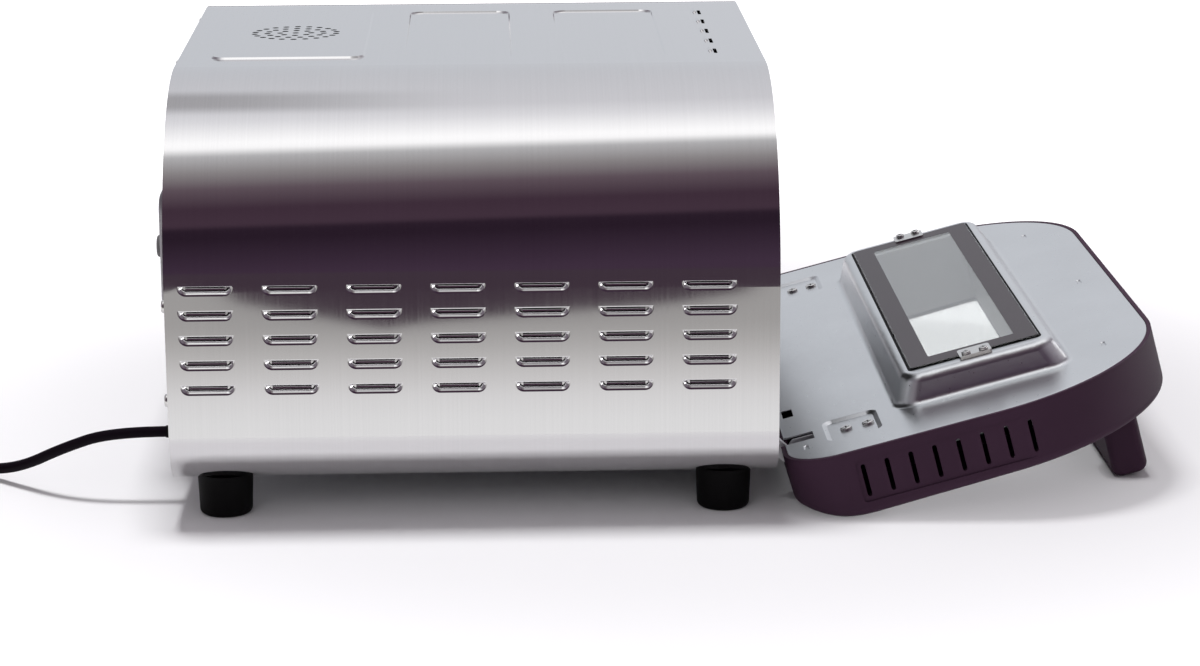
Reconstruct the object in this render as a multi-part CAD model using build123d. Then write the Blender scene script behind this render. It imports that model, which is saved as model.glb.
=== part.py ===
from build123d import *

import math
import os

# Front-loading bread machine with its door open: stainless wrap casing, oven chamber with a bread pan,
# belt drive under the chamber floor, circulating fan behind it, and a bottom-hinged door with a window.
# Millimetres, +Z up, the front towards -Y. The origin is under the middle of the standing object.

# Casing
casing_width = 435.0
casing_depth = 330.0
casing_height = 213.5
casing_sheet = 1.0
top_radius = 105.0
bottom_radius = 28.0
bottom_flange = 58.0
rear_flange = 8.0
foot_height = 23.5
half_width = casing_width / 2
casing_top = foot_height + casing_height
foot_radius = 15.4
foot_taper = 1.0
foot_from_side = 35.0
foot_from_front = 28.0
foot_from_rear = 27.0
foot_screw_radius = 2.0
foot_screw_head_radius = 4.0
foot_screw_head_height = 2.5
foot_recess_depth = 12.0
foot_recess_radius = 5.5

# Pressed louvres in both side walls
louvre_columns = 7
louvre_rows = 5
louvre_pitch_y = 45.0
louvre_pitch_z = 13.7
louvre_length = 28.6
louvre_height = 4.4
louvre_corner = 4.2
louvre_ramp = 2.3
louvre_dip = 0.9
louvre_rim = 1.6
louvre_lip = 0.8
louvre_sheet = 0.8
louvre_from_rear = 22.0
louvre_from_top = 101.6
louvre_top_height = casing_top - louvre_from_top

# Top of the casing
emboss_step = 1.1
emboss_radius = 8.0
pad_beside = 23.5
pad_width = casing_width - 2 * top_radius - 2 * pad_beside
vent_pad_from_rear = 18.0
vent_pad_length = 87.0
vent_from_rear = 61.5
vent_radius = 26.0
vent_hole_radius = 1.9
vent_rings = ((0.38, 8), (0.69, 15), (1.0, 22))
recess_length = 63.0
recess_step = 0.8
recess_draft = 42.0
recess_from_rear = (126.0, 213.5)
slot_count = 5
slot_length = 16.0
slot_row_inset = 7.0
slot_pitch = (pad_width - 2 * slot_row_inset - slot_length) / (slot_count - 1)
slot_width = 2.0
slot_lip_length = 12.0
slot_lip_width = 2.8
slot_lip_step = 1.2
slot_lip_beside = 0.4
slot_from_rear = 304.0

# Base, frame and rear
base_sheet = 1.2
frame_sheet = 1.0
frame_setback = 2.0
frame_lip = 9.0
rear_cover_inset = 97.5
rear_cover_half = half_width - rear_cover_inset
rear_cover_below = 39.0
rear_cover_above = 35.0
rear_cover_depth = 12.5
rear_cover_lip = 8.0
bumper_radius = 6.5
bumper_height = 2.4
bumper_inset = 16.0
bumper_from_middle = rear_cover_half - bumper_inset
bumper_above_fan = 0.5
rear_slots = 6
rear_slot_width = 3.0
rear_slot_pitch = 6.5
rear_slot_below = 24.0
roof_slot_below = 19.0
screw_radius = 1.7
screw_head_radius = 3.5
screw_head_height = 1.8
screw_length = 7.0
hole_play = 0.1
recess_width = 0.9
recess_depth = 0.9

# Oven chamber and mouth
chamber_from_side = 49.5
chamber_half = half_width - chamber_from_side
chamber_low = 62.0
chamber_from_top = 32.0
chamber_high = casing_top - chamber_from_top
chamber_from_rear = 47.0
chamber_rear = casing_depth - chamber_from_rear
chamber_sheet = 1.0
chamber_corner = 13.0
mouth_inset = 2.0
mouth_half = chamber_half - mouth_inset
mouth_above_floor = 16.0
mouth_low = chamber_low + mouth_above_floor
mouth_below_roof = 11.0
mouth_high = chamber_high - mouth_below_roof
mouth_corner = 14.0
gasket_gap = 3.0
gasket_width = 6.0
gasket_clear = 0.4
magnet_radius = 5.0
magnet_clear = 0.6

# Heater and probe
heater_radius = 3.5
heater_inset = 28.0
heater_half = chamber_half - heater_inset
heater_z = 74.0
heater_front = 40.0
heater_bend = 26.0
heater_tail = 10.0
bush_radius = 7.0
bush_length = 8.0
probe_radius = 2.5
probe_length = 40.0
probe_x = -100.0
probe_below_roof = 45.0
probe_z = chamber_high - probe_below_roof

# Fan
fan_below_middle = 0.5
fan_z = (chamber_low + chamber_high) / 2 - fan_below_middle
fan_radius = 48.0
fan_depth = 13.0
fan_blades = 8
fan_sheet = 1.2
fan_hub_radius = 8.0
fan_shaft_radius = 2.0
fan_play = 0.06
fan_behind = 5.0
guard_radius = 60.0
guard_depth = 27.0
guard_sheet = 1.0
fan_motor_size = 46.0
fan_motor_length = 30.0
fan_motor_stand = 4.0

# Drive
drive_y = 140.0
drive_shaft_radius = 4.0
shaft_play = 0.05
bearing_radius = 13.0
bearing_flange_radius = 20.0
bearing_length = 11.0
pulley_radius = 55.0
pulley_low = 35.0
pulley_width = 12.0
pulley_rim = 2.0
motor_pulley_radius = 9.0
motor_shaft_radius = 2.5
motor_radius = 21.0
motor_top_room = 125.0
motor_length = chamber_high - motor_top_room
motor_from_side = 26.5
motor_x = half_width - motor_from_side
bracket_sheet = 2.5
bracket_z = 54.5
bracket_half_length = 35.0
bracket_height = 28.0
belt_thickness = 1.6
belt_width = 10.0
belt_play = 0.15
dog_length = 24.0
dog_width = 7.0
dog_height = 8.0
dog_low = 67.0
coupling_radius = 16.0
coupling_play = 0.8

# Bread pan
pan_beside = 58.0
pan_half_x = chamber_half - pan_beside
pan_half_y = 65.0
pan_low = 84.0
pan_headroom = 27.0
pan_high = chamber_high - pan_headroom
pan_draft = 5.0
pan_corner = 22.0
pan_wall = 1.5
pan_rim = 4.0
pan_ring_radius = 45.0
pan_ring_wall = 2.0
pan_ring_gap = 0.3
pan_boss_radius = 12.0
clip_gap = 0.4
clip_sheet = 1.0
clip_width = 16.0
clip_height = 16.0
paddle_hub_radius = 9.0
paddle_reach = 46.0
paddle_thickness = 4.0
paddle_height = 24.0
bail_radius = 2.0
bail_half = 40.0
bail_drop = 42.0
bail_below_rim = 14.0
bail_z = pan_high - bail_below_rim
bail_stand = 8.0
bail_bend = 8.0
ear_size = 8.0

# Electronics in the casing
board_sheet = 1.6
board_stand = 7.0
board_length = 140.0
board_front = 60.0
board_low = 70.0
board_below_roof = 45.0
board_height = chamber_high - board_below_roof - board_low
transformer_size = (40.0, 40.0, 32.0)
transformer_from_side = 51.5
transformer_x = transformer_from_side - half_width
transformer_from_rear = 85.0

# Hinges
hinge_forward = 11.5
hinge_height = 21.9
hinge_from_side = 51.5
hinge_x = half_width - hinge_from_side
hinge_pin_radius = 2.5
hinge_pin_half = 6.8
arm_half = 3.0
arm_end_radius = 4.5
arm_play = 0.02
arm_foot_half = 12.0
arm_foot_low = 28.0
arm_foot_high = 62.0
arm_foot_sheet = 1.5
arm_root_high = 40.0
ear_gap = 0.7
ear_sheet = 2.0
ear_radius = 4.2
ear_below_panel = 1.2
notch_half = 7.0
notch_high = 17.0
notch_depth = 16.0
leaf_sheet = 1.5
leaf_half = 13.0
leaf_low = 18.0
leaf_high = 56.0

# Door, in its own upright frame: s up from the panel's lower edge, d outwards from the panel's face
door_tilt = 14.88
door_gap = 2.0
door_low = 20.0
panel_over = 3.5
panel_height = casing_height + panel_over
panel_sheet = 0.8
door_rim = 2.5
door_ledge = 2.0
door_top_radius = 102.0
door_bottom_radius = 30.0
door_toe_depth = 27.0
door_deep_s = 24.0
door_deep_depth = 38.2
door_belly_radius = 70.0
door_top_depth = 34.5
door_wall = 2.5
door_edge = 5.0
pad_wall = 2.5
side_vents = 8
side_vent_pitch = 13.4
side_vent_first = 37.4
side_vent_width = 2.6
side_vent_low = 8.6
side_vent_length = 18.8
side_recess_depth = 0.9
side_recess_margin = 2.6

# Raised window frame pressed in the panel
window_above_mouth = 0.5
window_s = (mouth_low + mouth_high) / 2 - door_low + window_above_mouth
hood_beside = 2.0
hood_below = 7.5
hood_base = (2 * (mouth_half - hood_beside), mouth_high - mouth_low - 2 * hood_below)
hood_lean = (3.0, 7.5)
hood_top = (hood_base[0] - 2 * hood_lean[0], hood_base[1] - 2 * hood_lean[1])
hood_rise = 16.6
hood_corner = 12.0
hood_edge = 6.0
hood_root = 4.0
glass_inset = (10.6, 5.6)
glass_size = (hood_top[0] - 2 * glass_inset[0], hood_top[1] - 2 * glass_inset[1])
glass_thickness = 3.0
glass_margin = 1.3
glass_step = 2.8
seal_thickness = 0.8
seal_land = 5.5
glass_border = (16.4, 14.4)
glass_clear = (glass_size[0] - 2 * glass_border[0], glass_size[1] - 2 * glass_border[1])
frame_land = 8.4
frame_clear = (glass_size[0] - 2 * frame_land, glass_size[1] - 2 * frame_land)
glass_clip_half = 9.2
glass_clip_sheet = 1.0
glass_clip_reach = 7.9
glass_clip_inner = glass_size[0] / 2 - glass_clip_reach
glass_clip_length = 14.5
glass_clip_outer = glass_clip_inner + glass_clip_length
glass_clip_screw_x = glass_clip_outer - 3.6
glass_clip_screw_spacing = 10.0
small_screw_radius = 1.2
small_head_radius = 2.6
small_head_height = 1.6
tunnel_wall = 1.2
tunnel_margin = (0.5, 8.5)

# Pressings and holes in the panel
hinge_pad_s = (22.6, 55.4)
hinge_pad_x = (hinge_x - 18.9, hinge_x + 22.9)
hinge_pad_depth = 1.5
hinge_pad_corner = 6.4
hinge_pad_draft = 58.0
hinge_pad_rim = 1.0
leaf_screw_s = (35.5, 48.0)
leaf_screw_x = hinge_x + 2.0
leaf_screw_radius = 1.9
leaf_head_radius = 3.4
cable_hole_x = (-120.5, -105.5)
cable_hole_s = (3.5, 9.7)
dimple_length = 9.0
dimple_width = 3.0
dimple_depth = 0.6
dimple_draft = 50.0
dimple_upper = (half_width - 75.5, panel_height - 28.6)
dimple_middle_s = panel_height - 17.5
dimple_lower = (half_width - 30.5, 11.0)
panel_edge = 0.6

# Outer face of the door
outer_glass_size = (glass_size[0] + 3.2, glass_size[1] + 1.2)
outer_glass_thickness = 3.0
outer_seat = 6.0
outer_window_size = (outer_glass_size[0] - 2 * outer_seat, outer_glass_size[1] - 2 * outer_seat)
fascia_size = (outer_glass_size[0], 34.0)
fascia_thickness = 2.0
fascia_seat = (8.0, 5.0)
fascia_opening = (fascia_size[0] - 2 * fascia_seat[0], fascia_size[1] - 2 * fascia_seat[1])
fascia_s = 56.5
fit_gap = 0.3
button_radius = 6.5
button_proud = 1.5
button_flange_radius = 8.2
button_flange = 1.5
button_travel = 1.0
button_stem = 7.0
button_spacing = 22.0
button_first_x = 58.0
button_names = ("menu", "crust", "loaf", "minus", "plus", "start")
display_size = (64.0, 22.0)
display_window = (56.0, 16.0)
control_board_size = (fascia_size[0] - 2.0, 32.0)
switch_size = 6.0

# Handle
handle_from_side = 75.5
handle_half = half_width - handle_from_side
handle_from_top = 19.5
handle_high = panel_height - handle_from_top
handle_height = 20.5
handle_low = handle_high - handle_height
handle_grip = 16.0
handle_post = 28.0
handle_edge = 6.0
handle_end_edge = 4.5
handle_rest_gap = 0.2
handle_screw_x = handle_half - handle_post / 2
handle_screw_spacing = 9.0

# Mains cord
cord_diameter = 6.1
gland_from_side = 57.5
gland_x = gland_from_side - half_width
gland_z = 40.0
gland_radius = 5.2
gland_collar = 7.3
gland_tail = 7.0
gland_neck_radius = 4.0
gland_end_radius = 3.4
coil_turns = 4
coil_mid_radius = 33.5
coil_pitch = 7.0
coil_layer = 6.8
tie_thickness = 0.8
tie_width = 6.0
tie_play = 0.3
coil_exit = 24.0
plug_sleeve = 16.0
plug_size = (30.0, 26.0, 20.6)
blade_size = (17.0, 1.6, 6.3)
blade_spacing = 12.7
earth_pin_radius = 2.4
earth_pin_length = 20.0
# Route from the gland to the coil, as places beside the gland and the casing's rear edge: x, y behind it, z
cord_route = [
    (0.0, 38.0, 40.0),
    (9.5, 66.0, 28.5),
    (30.5, 92.0, 12.0),
    (52.5, 116.0, 4.15),
    (69.0, 138.0, 4.15),
]

# Places worked out from the sizes above; the casing's front edge stands at y = 0 until all is centred
casing_low = foot_height
frame_front = frame_setback
chamber_front = frame_setback + frame_sheet
rear_cover_low = fan_z - rear_cover_below
rear_cover_high = fan_z + rear_cover_above
bumper_z = fan_z + bumper_above_fan
panel_rear = casing_depth - casing_sheet
panel_front = panel_rear - casing_sheet
base_low = casing_low + casing_sheet
base_top = base_low + base_sheet
foot_places = [
    (side * (half_width - foot_from_side), y)
    for side in (-1, 1)
    for y in (foot_from_front, casing_depth - foot_from_rear)
]
tilt = math.radians(door_tilt)
hinge_s = hinge_height - door_low
hinge_d = hinge_forward - door_gap
door_low_s = -door_rim
door_high_s = panel_height + door_rim
face_slope = (door_deep_depth - door_top_depth) / (door_high_s - door_deep_s)


def box(x0, x1, y0, y1, z0, z1):
    """Block between two corners."""
    return Pos((x0 + x1) / 2, (y0 + y1) / 2, (z0 + z1) / 2) * Box(abs(x1 - x0), abs(y1 - y0), abs(z1 - z0))


def rod(start, axis, radius, length):
    """Round bar from a point along an axis."""
    return Plane(origin=start, z_dir=axis) * Cylinder(radius, length,
                                                      align=(Align.CENTER, Align.CENTER, Align.MIN))


def upright(face, y_front, y_rear):
    """Prism of an X-Z outline between two depths."""
    plane = Plane(origin=(0, y_rear, 0), x_dir=(1, 0, 0), z_dir=(0, -1, 0))
    return extrude(plane * face, y_rear - y_front)


def rounded(width, height, radius, centre=(0, 0)):
    """Rectangle with equal round corners."""
    return Pos(centre[0], centre[1]) * RectangleRounded(width, height, radius)


def arched(width, low, high, radius_low, radius_high):
    """Upright rectangle with larger round corners at its top."""
    face = Pos(0, (low + high) / 2) * Rectangle(width, high - low)
    face = fillet(face.vertices().group_by(Axis.Y)[-1], radius_high)
    return fillet(face.vertices().group_by(Axis.Y)[0], radius_low)


def casing_outline(inset):
    """Cross-section of the casing, set in from its outside."""
    return arched(casing_width - 2 * inset, casing_low + inset, casing_top - inset,
                  bottom_radius - inset, top_radius - inset)


def tapered(face, height, draft=45):
    """Pressed form: an outline raised from z = 0, with sloping sides."""
    return extrude(face, height, taper=draft)


def group(solids):
    """Separate solids kept together in one node."""
    return Compound(children=list(solids))


# Casing

def louvre_places():
    for column in range(louvre_columns):
        y = casing_depth - louvre_from_rear - column * louvre_pitch_y
        for row in range(louvre_rows):
            yield y, louvre_top_height - row * louvre_pitch_z


def louvre_press(grow):
    """Form pressed inwards, grown by a thickness: ramps on three sides and a floor that dips to the slit."""
    deep = louvre_ramp + grow
    wide = louvre_length + 2 * grow
    tall = louvre_height + grow
    dish = extrude(rounded(wide, 2 * tall, louvre_corner + grow), deep, taper=45)
    floor = deep - 0.01
    wedge = make_face(Polyline((deep - tall, floor), (0, floor), (0, deep + louvre_dip), close=True))
    span = wide - 2 * deep - 3
    dip = extrude(Plane(origin=(-span / 2, 0, 0), x_dir=(0, 1, 0), z_dir=(1, 0, 0)) * wedge, span)
    return (dish + dip) & box(-wide, wide, -2 * tall, 0, -1, 3 * deep)


def louvre_forms(side):
    """Backs of the louvres pressed into one side wall, and the hollows in front of them."""
    plane = Plane(origin=(side * half_width, 0, 0), x_dir=(0, -side, 0), z_dir=(-side, 0, 0))
    hollow = louvre_press(0)
    back = louvre_press(louvre_sheet)
    tile = box(-louvre_length, louvre_length, -2 * louvre_height, louvre_height, 0, casing_sheet)
    sheet = tile + back - hollow
    rim = sheet.edges().filter_by_position(Axis.Z, -0.01, 0.01).filter_by(
        lambda e: abs(e.center().X) < louvre_length * 0.6 and -louvre_height - 0.1 < e.center().Y < -0.05)
    sheet = fillet(rim, louvre_rim)
    lip = sheet.edges().filter_by_position(Axis.Z, -0.01, 0.01).filter_by(lambda e: abs(e.center().Y) < 0.05)
    sheet = fillet(lip, louvre_lip)
    backs = []
    hollows = []
    for y, z in louvre_places():
        place = plane * Pos(-side * y, z, 0)
        backs.append(place * back)
        hollows.append(place * (tile - sheet + hollow))
    return backs, hollows


def vent_holes():
    """Round holes, one in the middle and the rest in rings, that fill the steam vent's circle."""
    reach = vent_radius - vent_hole_radius
    places = [(0, 0)]
    for share, count in vent_rings:
        for index in range(count):
            turn = 2 * math.pi * index / count
            places.append((share * reach * math.cos(turn), share * reach * math.sin(turn)))
    return places


def casing_wrap():
    shell = upright(casing_outline(0) - casing_outline(casing_sheet), 0, casing_depth)
    gap = half_width - bottom_flange
    shell -= box(-gap, gap, -1, casing_depth + 1, casing_low - 1, casing_low + casing_sheet + 1)
    rim = casing_outline(casing_sheet / 2) - casing_outline(casing_sheet + rear_flange)
    shell += upright(rim, panel_rear, casing_depth)
    # Raised pad round the steam vent, then two sunk pads
    pad_y = casing_depth - vent_pad_from_rear - vent_pad_length / 2
    roof = Pos(0, 0, casing_top)
    pad = rounded(pad_width, vent_pad_length, emboss_radius, (0, pad_y))
    shell += roof * tapered(pad, emboss_step)
    under = rounded(pad_width - 2 * emboss_step, vent_pad_length - 2 * emboss_step, emboss_radius,
                    (0, pad_y))
    shell -= Pos(0, 0, casing_top - 2 * casing_sheet) * extrude(under, casing_sheet + emboss_step)
    for start in recess_from_rear:
        y = casing_depth - start - recess_length / 2
        tray = rounded(pad_width, recess_length, emboss_radius, (0, y))
        well = rounded(pad_width - 2 * casing_sheet, recess_length - 2 * casing_sheet, emboss_radius,
                       (0, y))
        shell += Pos(0, 0, casing_top - casing_sheet / 2) * extrude(tray, -recess_step - casing_sheet / 2)
        shell -= roof * extrude(well, -recess_step, taper=recess_draft)
    cuts = []
    vent_y = casing_depth - vent_from_rear
    for x, y in vent_holes():
        cuts.append(rod((x, vent_y + y, casing_top - 2), (0, 0, 1), vent_hole_radius, 6))
    slot_y = casing_depth - slot_from_rear
    for index in range(slot_count):
        x = (index - (slot_count - 1) / 2) * slot_pitch
        slot = Pos(x, slot_y, casing_top - 3) * extrude(SlotOverall(slot_length, slot_width), 6)
        cuts.append(slot)
        # Raised lip along the rear of each slot
        lip = Pos(x + slot_length / 4, slot_y + slot_width / 2 + slot_lip_beside + slot_lip_width / 2)
        lip = lip * SlotOverall(slot_lip_length, slot_lip_width)
        shell += roof * tapered(lip, slot_lip_step)
    for x, y in foot_places:
        cuts.append(rod((x, y, casing_low - 1), (0, 0, 1), foot_screw_radius + hole_play, 4))
    for x, z in rear_screw_places():
        cuts.append(rod((x, casing_depth + 1, z), (0, -1, 0), screw_radius + hole_play, 6))
    backs = []
    for side in (-1, 1):
        pressed, hollows = louvre_forms(side)
        backs += pressed
        cuts += hollows
    return (shell + backs) - cuts


def rear_screw_places():
    """Places on the rear flange: low and high on each side, and along the top."""
    inset = casing_sheet + rear_flange / 2
    side_x = half_width - inset
    roof_x = rear_cover_half * 2 / 3
    low = chamber_low + 10
    high = low + 52
    return [(-side_x, low), (side_x, low), (-side_x, high), (side_x, high), (-roof_x, casing_top - inset),
            (roof_x, casing_top - inset)]


def cover_screw_places():
    x = rear_cover_half + rear_cover_lip / 2
    return [(side * x, z) for side in (-1, 1) for z in (rear_cover_low + 12, rear_cover_high - 12)]


def bracket_screw_places():
    return [(side * hinge_x + step, arm_foot_high - 7) for side in (-1, 1) for step in (-7, 7)]


def base_plate():
    x = half_width - bottom_radius - 2
    plate = box(-x, x, chamber_front + 1, panel_front - 1, base_low, base_top)
    for row in range(8):
        y = casing_depth - 60 - row * 9
        plate -= Pos(0, y, base_low - 1) * extrude(SlotOverall(120, 4), 4)
    for x, y in foot_places:
        plate -= rod((x, y, base_low - 1), (0, 0, 1), foot_screw_radius + hole_play / 2, 4)
    for side in (-1, 1):
        stand_y = chamber_rear - 30
        stand_x = side * (chamber_half - 48)
        stand = box(stand_x - 12, stand_x + 12, stand_y - 8, stand_y + 8, base_low,
                    chamber_low - chamber_sheet)
        hollow = box(stand_x - 10, stand_x + 10, stand_y - 9, stand_y + 9, base_top,
                     chamber_low - chamber_sheet - 2)
        plate += stand - hollow
    return plate


def foot(x, y):
    draft = math.degrees(math.atan(foot_taper / foot_height))
    body = Pos(x, y, foot_height) * Rot(180, 0, 0) * extrude(Circle(foot_radius), foot_height, taper=draft)
    body = fillet(body.edges().group_by(Axis.Z)[0], 3)
    body -= rod((x, y, 0), (0, 0, 1), foot_recess_radius, foot_recess_depth)
    return body - rod((x, y, 0), (0, 0, 1), foot_screw_radius + hole_play, foot_height + 1)


def cross_recess(place, axis, reach):
    """Cross-shaped driver recess in the top of a screw's head."""
    arm = Box(2 * reach, recess_width, 2 * recess_depth)
    return Plane(origin=place, z_dir=axis) * (arm + Rot(0, 0, 90) * arm)


def foot_screw(x, y):
    head_low = foot_recess_depth - foot_screw_head_height
    head = rod((x, y, head_low), (0, 0, 1), foot_screw_head_radius, foot_screw_head_height)
    head -= cross_recess((x, y, head_low), (0, 0, -1), 2.2)
    return head + rod((x, y, foot_recess_depth), (0, 0, 1), foot_screw_radius,
                      base_top + 3 - foot_recess_depth)


def rear_panel():
    panel = upright(casing_outline(casing_sheet + 0.2), panel_front, panel_rear)
    opening = rear_cover_half / 2
    panel -= box(-opening, opening, panel_front - 1, panel_rear + 1, rear_cover_low + 10,
                 rear_cover_high - 8)
    low_x = rear_cover_half - 25
    low_slot = SlotOverall(rear_cover_half * 3 / 4, rear_slot_width)
    roof_x = opening - 10
    roof_slot = SlotOverall(rear_cover_half * 2 / 3, rear_slot_width)
    for side in (-1, 1):
        for row in range(rear_slots):
            slot = Pos(side * low_x, rear_cover_low - rear_slot_below - row * rear_slot_pitch) * low_slot
            panel -= upright(slot, panel_front - 1, panel_rear + 1)
            slot = Pos(side * roof_x, casing_top - roof_slot_below - row * rear_slot_pitch) * roof_slot
            panel -= upright(slot, panel_front - 1, panel_rear + 1)
    panel -= rod((gland_x, panel_front - 1, gland_z), (0, 1, 0), gland_radius + hole_play, 4)
    for x, z in rear_screw_places() + cover_screw_places():
        panel -= rod((x, panel_front - 1, z), (0, 1, 0), screw_radius + hole_play, 4)
    return panel


def rear_cover():
    width = 2 * rear_cover_half
    height = rear_cover_high - rear_cover_low
    middle = (0, (rear_cover_low + rear_cover_high) / 2)
    bulge = upright(rounded(width, height, 14, middle), panel_rear, panel_rear + rear_cover_depth)
    bulge = fillet(bulge.faces().sort_by(Axis.Y)[-1].edges(), 7)
    inner = upright(rounded(width - 2, height - 2, 13, middle), panel_rear - 1,
                    panel_rear + rear_cover_depth - 1)
    inner = fillet(inner.faces().sort_by(Axis.Y)[-1].edges(), 6)
    lip = rounded(width + 2 * rear_cover_lip, height, 14, middle)
    cover = bulge + upright(lip, panel_rear, panel_rear + 1) - inner
    for index in range(9):
        slot = Pos((index - 4) * 9, middle[1] + 4) * SlotOverall(44, 3.4, rotation=90)
        cover -= upright(slot, panel_rear, panel_rear + rear_cover_depth + 1)
    for x, z in cover_screw_places():
        cover -= rod((x, panel_rear - 1, z), (0, 1, 0), screw_radius + hole_play, 4)
    for side in (-1, 1):
        cover -= rod((side * bumper_from_middle, panel_rear, bumper_z), (0, 1, 0), 2.6,
                     rear_cover_depth + 1)
    return cover


def rear_bumper(side):
    x = side * bumper_from_middle
    start = panel_rear + rear_cover_depth
    button = rod((x, start, bumper_z), (0, 1, 0), bumper_radius, bumper_height)
    button = fillet(button.edges().group_by(Axis.Y)[-1], 2)
    return button + rod((x, start - 4, bumper_z), (0, 1, 0), 2.5, 4.5)


def casing_screw(x, y, z, axis):
    """Round-headed screw whose head stands on y and points along the axis."""
    head = rod((x, y, z), axis, screw_head_radius, screw_head_height)
    head = fillet(head.edges().sort_by(Axis(origin=(x, y, z), direction=axis))[-1], 1.0)
    top = (x, y + axis[1] * screw_head_height, z)
    head -= cross_recess(top, axis, 2.1)
    inward = (-axis[0], -axis[1], -axis[2])
    return head + rod((x, y, z), inward, screw_radius, screw_length)


def casing_screws():
    solids = [casing_screw(x, casing_depth, z, (0, 1, 0)) for x, z in rear_screw_places()]
    solids += [casing_screw(x, panel_rear + 1, z, (0, 1, 0)) for x, z in cover_screw_places()]
    front = frame_front - arm_foot_sheet
    solids += [casing_screw(x, front, z, (0, -1, 0)) for x, z in bracket_screw_places()]
    return group(solids)


# Front frame, oven chamber and what is in it

def front_frame():
    inset = casing_sheet + 0.15
    plate = upright(casing_outline(inset), frame_front, chamber_front)
    lip = upright(casing_outline(inset) - casing_outline(inset + frame_sheet), chamber_front,
                  chamber_front + frame_lip)
    lip -= box(-half_width, half_width, 0, 50, 0, casing_low + bottom_radius + 4)
    mouth = rounded(2 * mouth_half, mouth_high - mouth_low, mouth_corner, (0, (mouth_low + mouth_high) / 2))
    frame = plate + lip - upright(mouth, 0, 20)
    for x, z in bracket_screw_places():
        frame -= rod((x, 0, z), (0, 1, 0), screw_radius + hole_play, 10)
    return frame


def chamber_outline(grow):
    width = 2 * (chamber_half + grow)
    height = chamber_high - chamber_low + 2 * grow
    return rounded(width, height, chamber_corner + grow, (0, (chamber_low + chamber_high) / 2))


def oven_chamber():
    box_out = upright(chamber_outline(chamber_sheet), chamber_front, chamber_rear)
    shell = box_out - upright(chamber_outline(0), chamber_front - 1, chamber_rear - chamber_sheet)
    shell -= rod((0, drive_y, chamber_low - 3), (0, 0, 1), bearing_radius + hole_play, 6)
    shell -= rod((0, chamber_rear - 3, fan_z), (0, 1, 0), fan_shaft_radius + 2, 6)
    for side in (-1, 1):
        shell -= rod((side * heater_half, chamber_rear - 3, heater_z), (0, 1, 0),
                     bush_radius - 2 + hole_play, 6)
    shell -= rod((probe_x, chamber_rear - 3, probe_z), (0, 1, 0), probe_radius + hole_play, 6)
    for index in range(7):
        angle = index * math.tau / 6
        reach = 0 if index == 6 else 14
        x = reach * math.cos(angle)
        y = casing_depth - vent_from_rear - 20 + reach * math.sin(angle)
        shell -= rod((x, y, chamber_high - 2), (0, 0, 1), 3, 6)
    return shell


def mouth_ring(grow):
    width = 2 * (mouth_half + grow)
    height = mouth_high - mouth_low + 2 * grow
    return rounded(width, height, mouth_corner + grow, (0, (mouth_low + mouth_high) / 2))


def door_gasket():
    ring = mouth_ring(gasket_gap + gasket_width) - mouth_ring(gasket_gap)
    seal = upright(ring, -door_gap + gasket_clear, frame_front)
    return fillet(seal.edges().group_by(Axis.Y)[0], 1.2)


def door_magnet(side):
    low = -door_gap + magnet_clear
    x, s = dimple_upper
    return rod((side * x, low, door_low + s), (0, 1, 0), magnet_radius, frame_front - low)


def heater_element():
    rear = chamber_rear + heater_tail
    points = [(-heater_half, rear, heater_z), (-heater_half, heater_front, heater_z),
              (heater_half, heater_front, heater_z), (heater_half, rear, heater_z)]
    path = FilletPolyline(*points, radius=heater_bend)
    start = Plane(origin=points[0], z_dir=(0, -1, 0))
    return sweep(start * Circle(heater_radius), path=path)


def heater_bush(side):
    x = side * heater_half
    collar = rod((x, chamber_rear, heater_z), (0, 1, 0), bush_radius, bush_length - 3)
    body = rod((x, chamber_rear - 3, heater_z), (0, 1, 0), bush_radius - 2, bush_length)
    return collar + body - rod((x, 0, heater_z), (0, 1, 0), heater_radius + 0.1, casing_depth)


def temperature_probe():
    start = chamber_rear - chamber_sheet - probe_length / 2
    stem = rod((probe_x, start, probe_z), (0, 1, 0), probe_radius, probe_length)
    nut = Plane(origin=(probe_x, chamber_rear, probe_z), z_dir=(0, 1, 0)) * extrude(RegularPolygon(6, 6), 5)
    return stem + nut


def fan_plane():
    """Fan axis pointing to the rear, from the face of the chamber's back wall."""
    return Plane(origin=(0, chamber_rear - chamber_sheet, fan_z), x_dir=(1, 0, 0), z_dir=(0, 1, 0))


def fan_blade():
    hub = Pos(0, 0, -fan_behind - fan_depth) * Cylinder(fan_hub_radius, fan_depth,
                                                       align=(Align.CENTER, Align.CENTER, Align.MIN))
    disc = Pos(0, 0, -fan_behind - fan_sheet) * extrude(Circle(fan_radius - 8), fan_sheet)
    wheel = hub + disc
    for index in range(fan_blades):
        vane = box(fan_hub_radius - 1, fan_radius, -fan_sheet / 2, fan_sheet / 2, -fan_behind - fan_depth,
                   -fan_behind)
        wheel += Rot(0, 0, index * 360 / fan_blades) * vane
    reach = chamber_sheet + fan_motor_stand + fan_motor_length - 4
    wheel += Pos(0, 0, -fan_behind - 1) * extrude(Circle(fan_shaft_radius), fan_behind + 1 + reach)
    return fan_plane() * wheel


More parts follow.
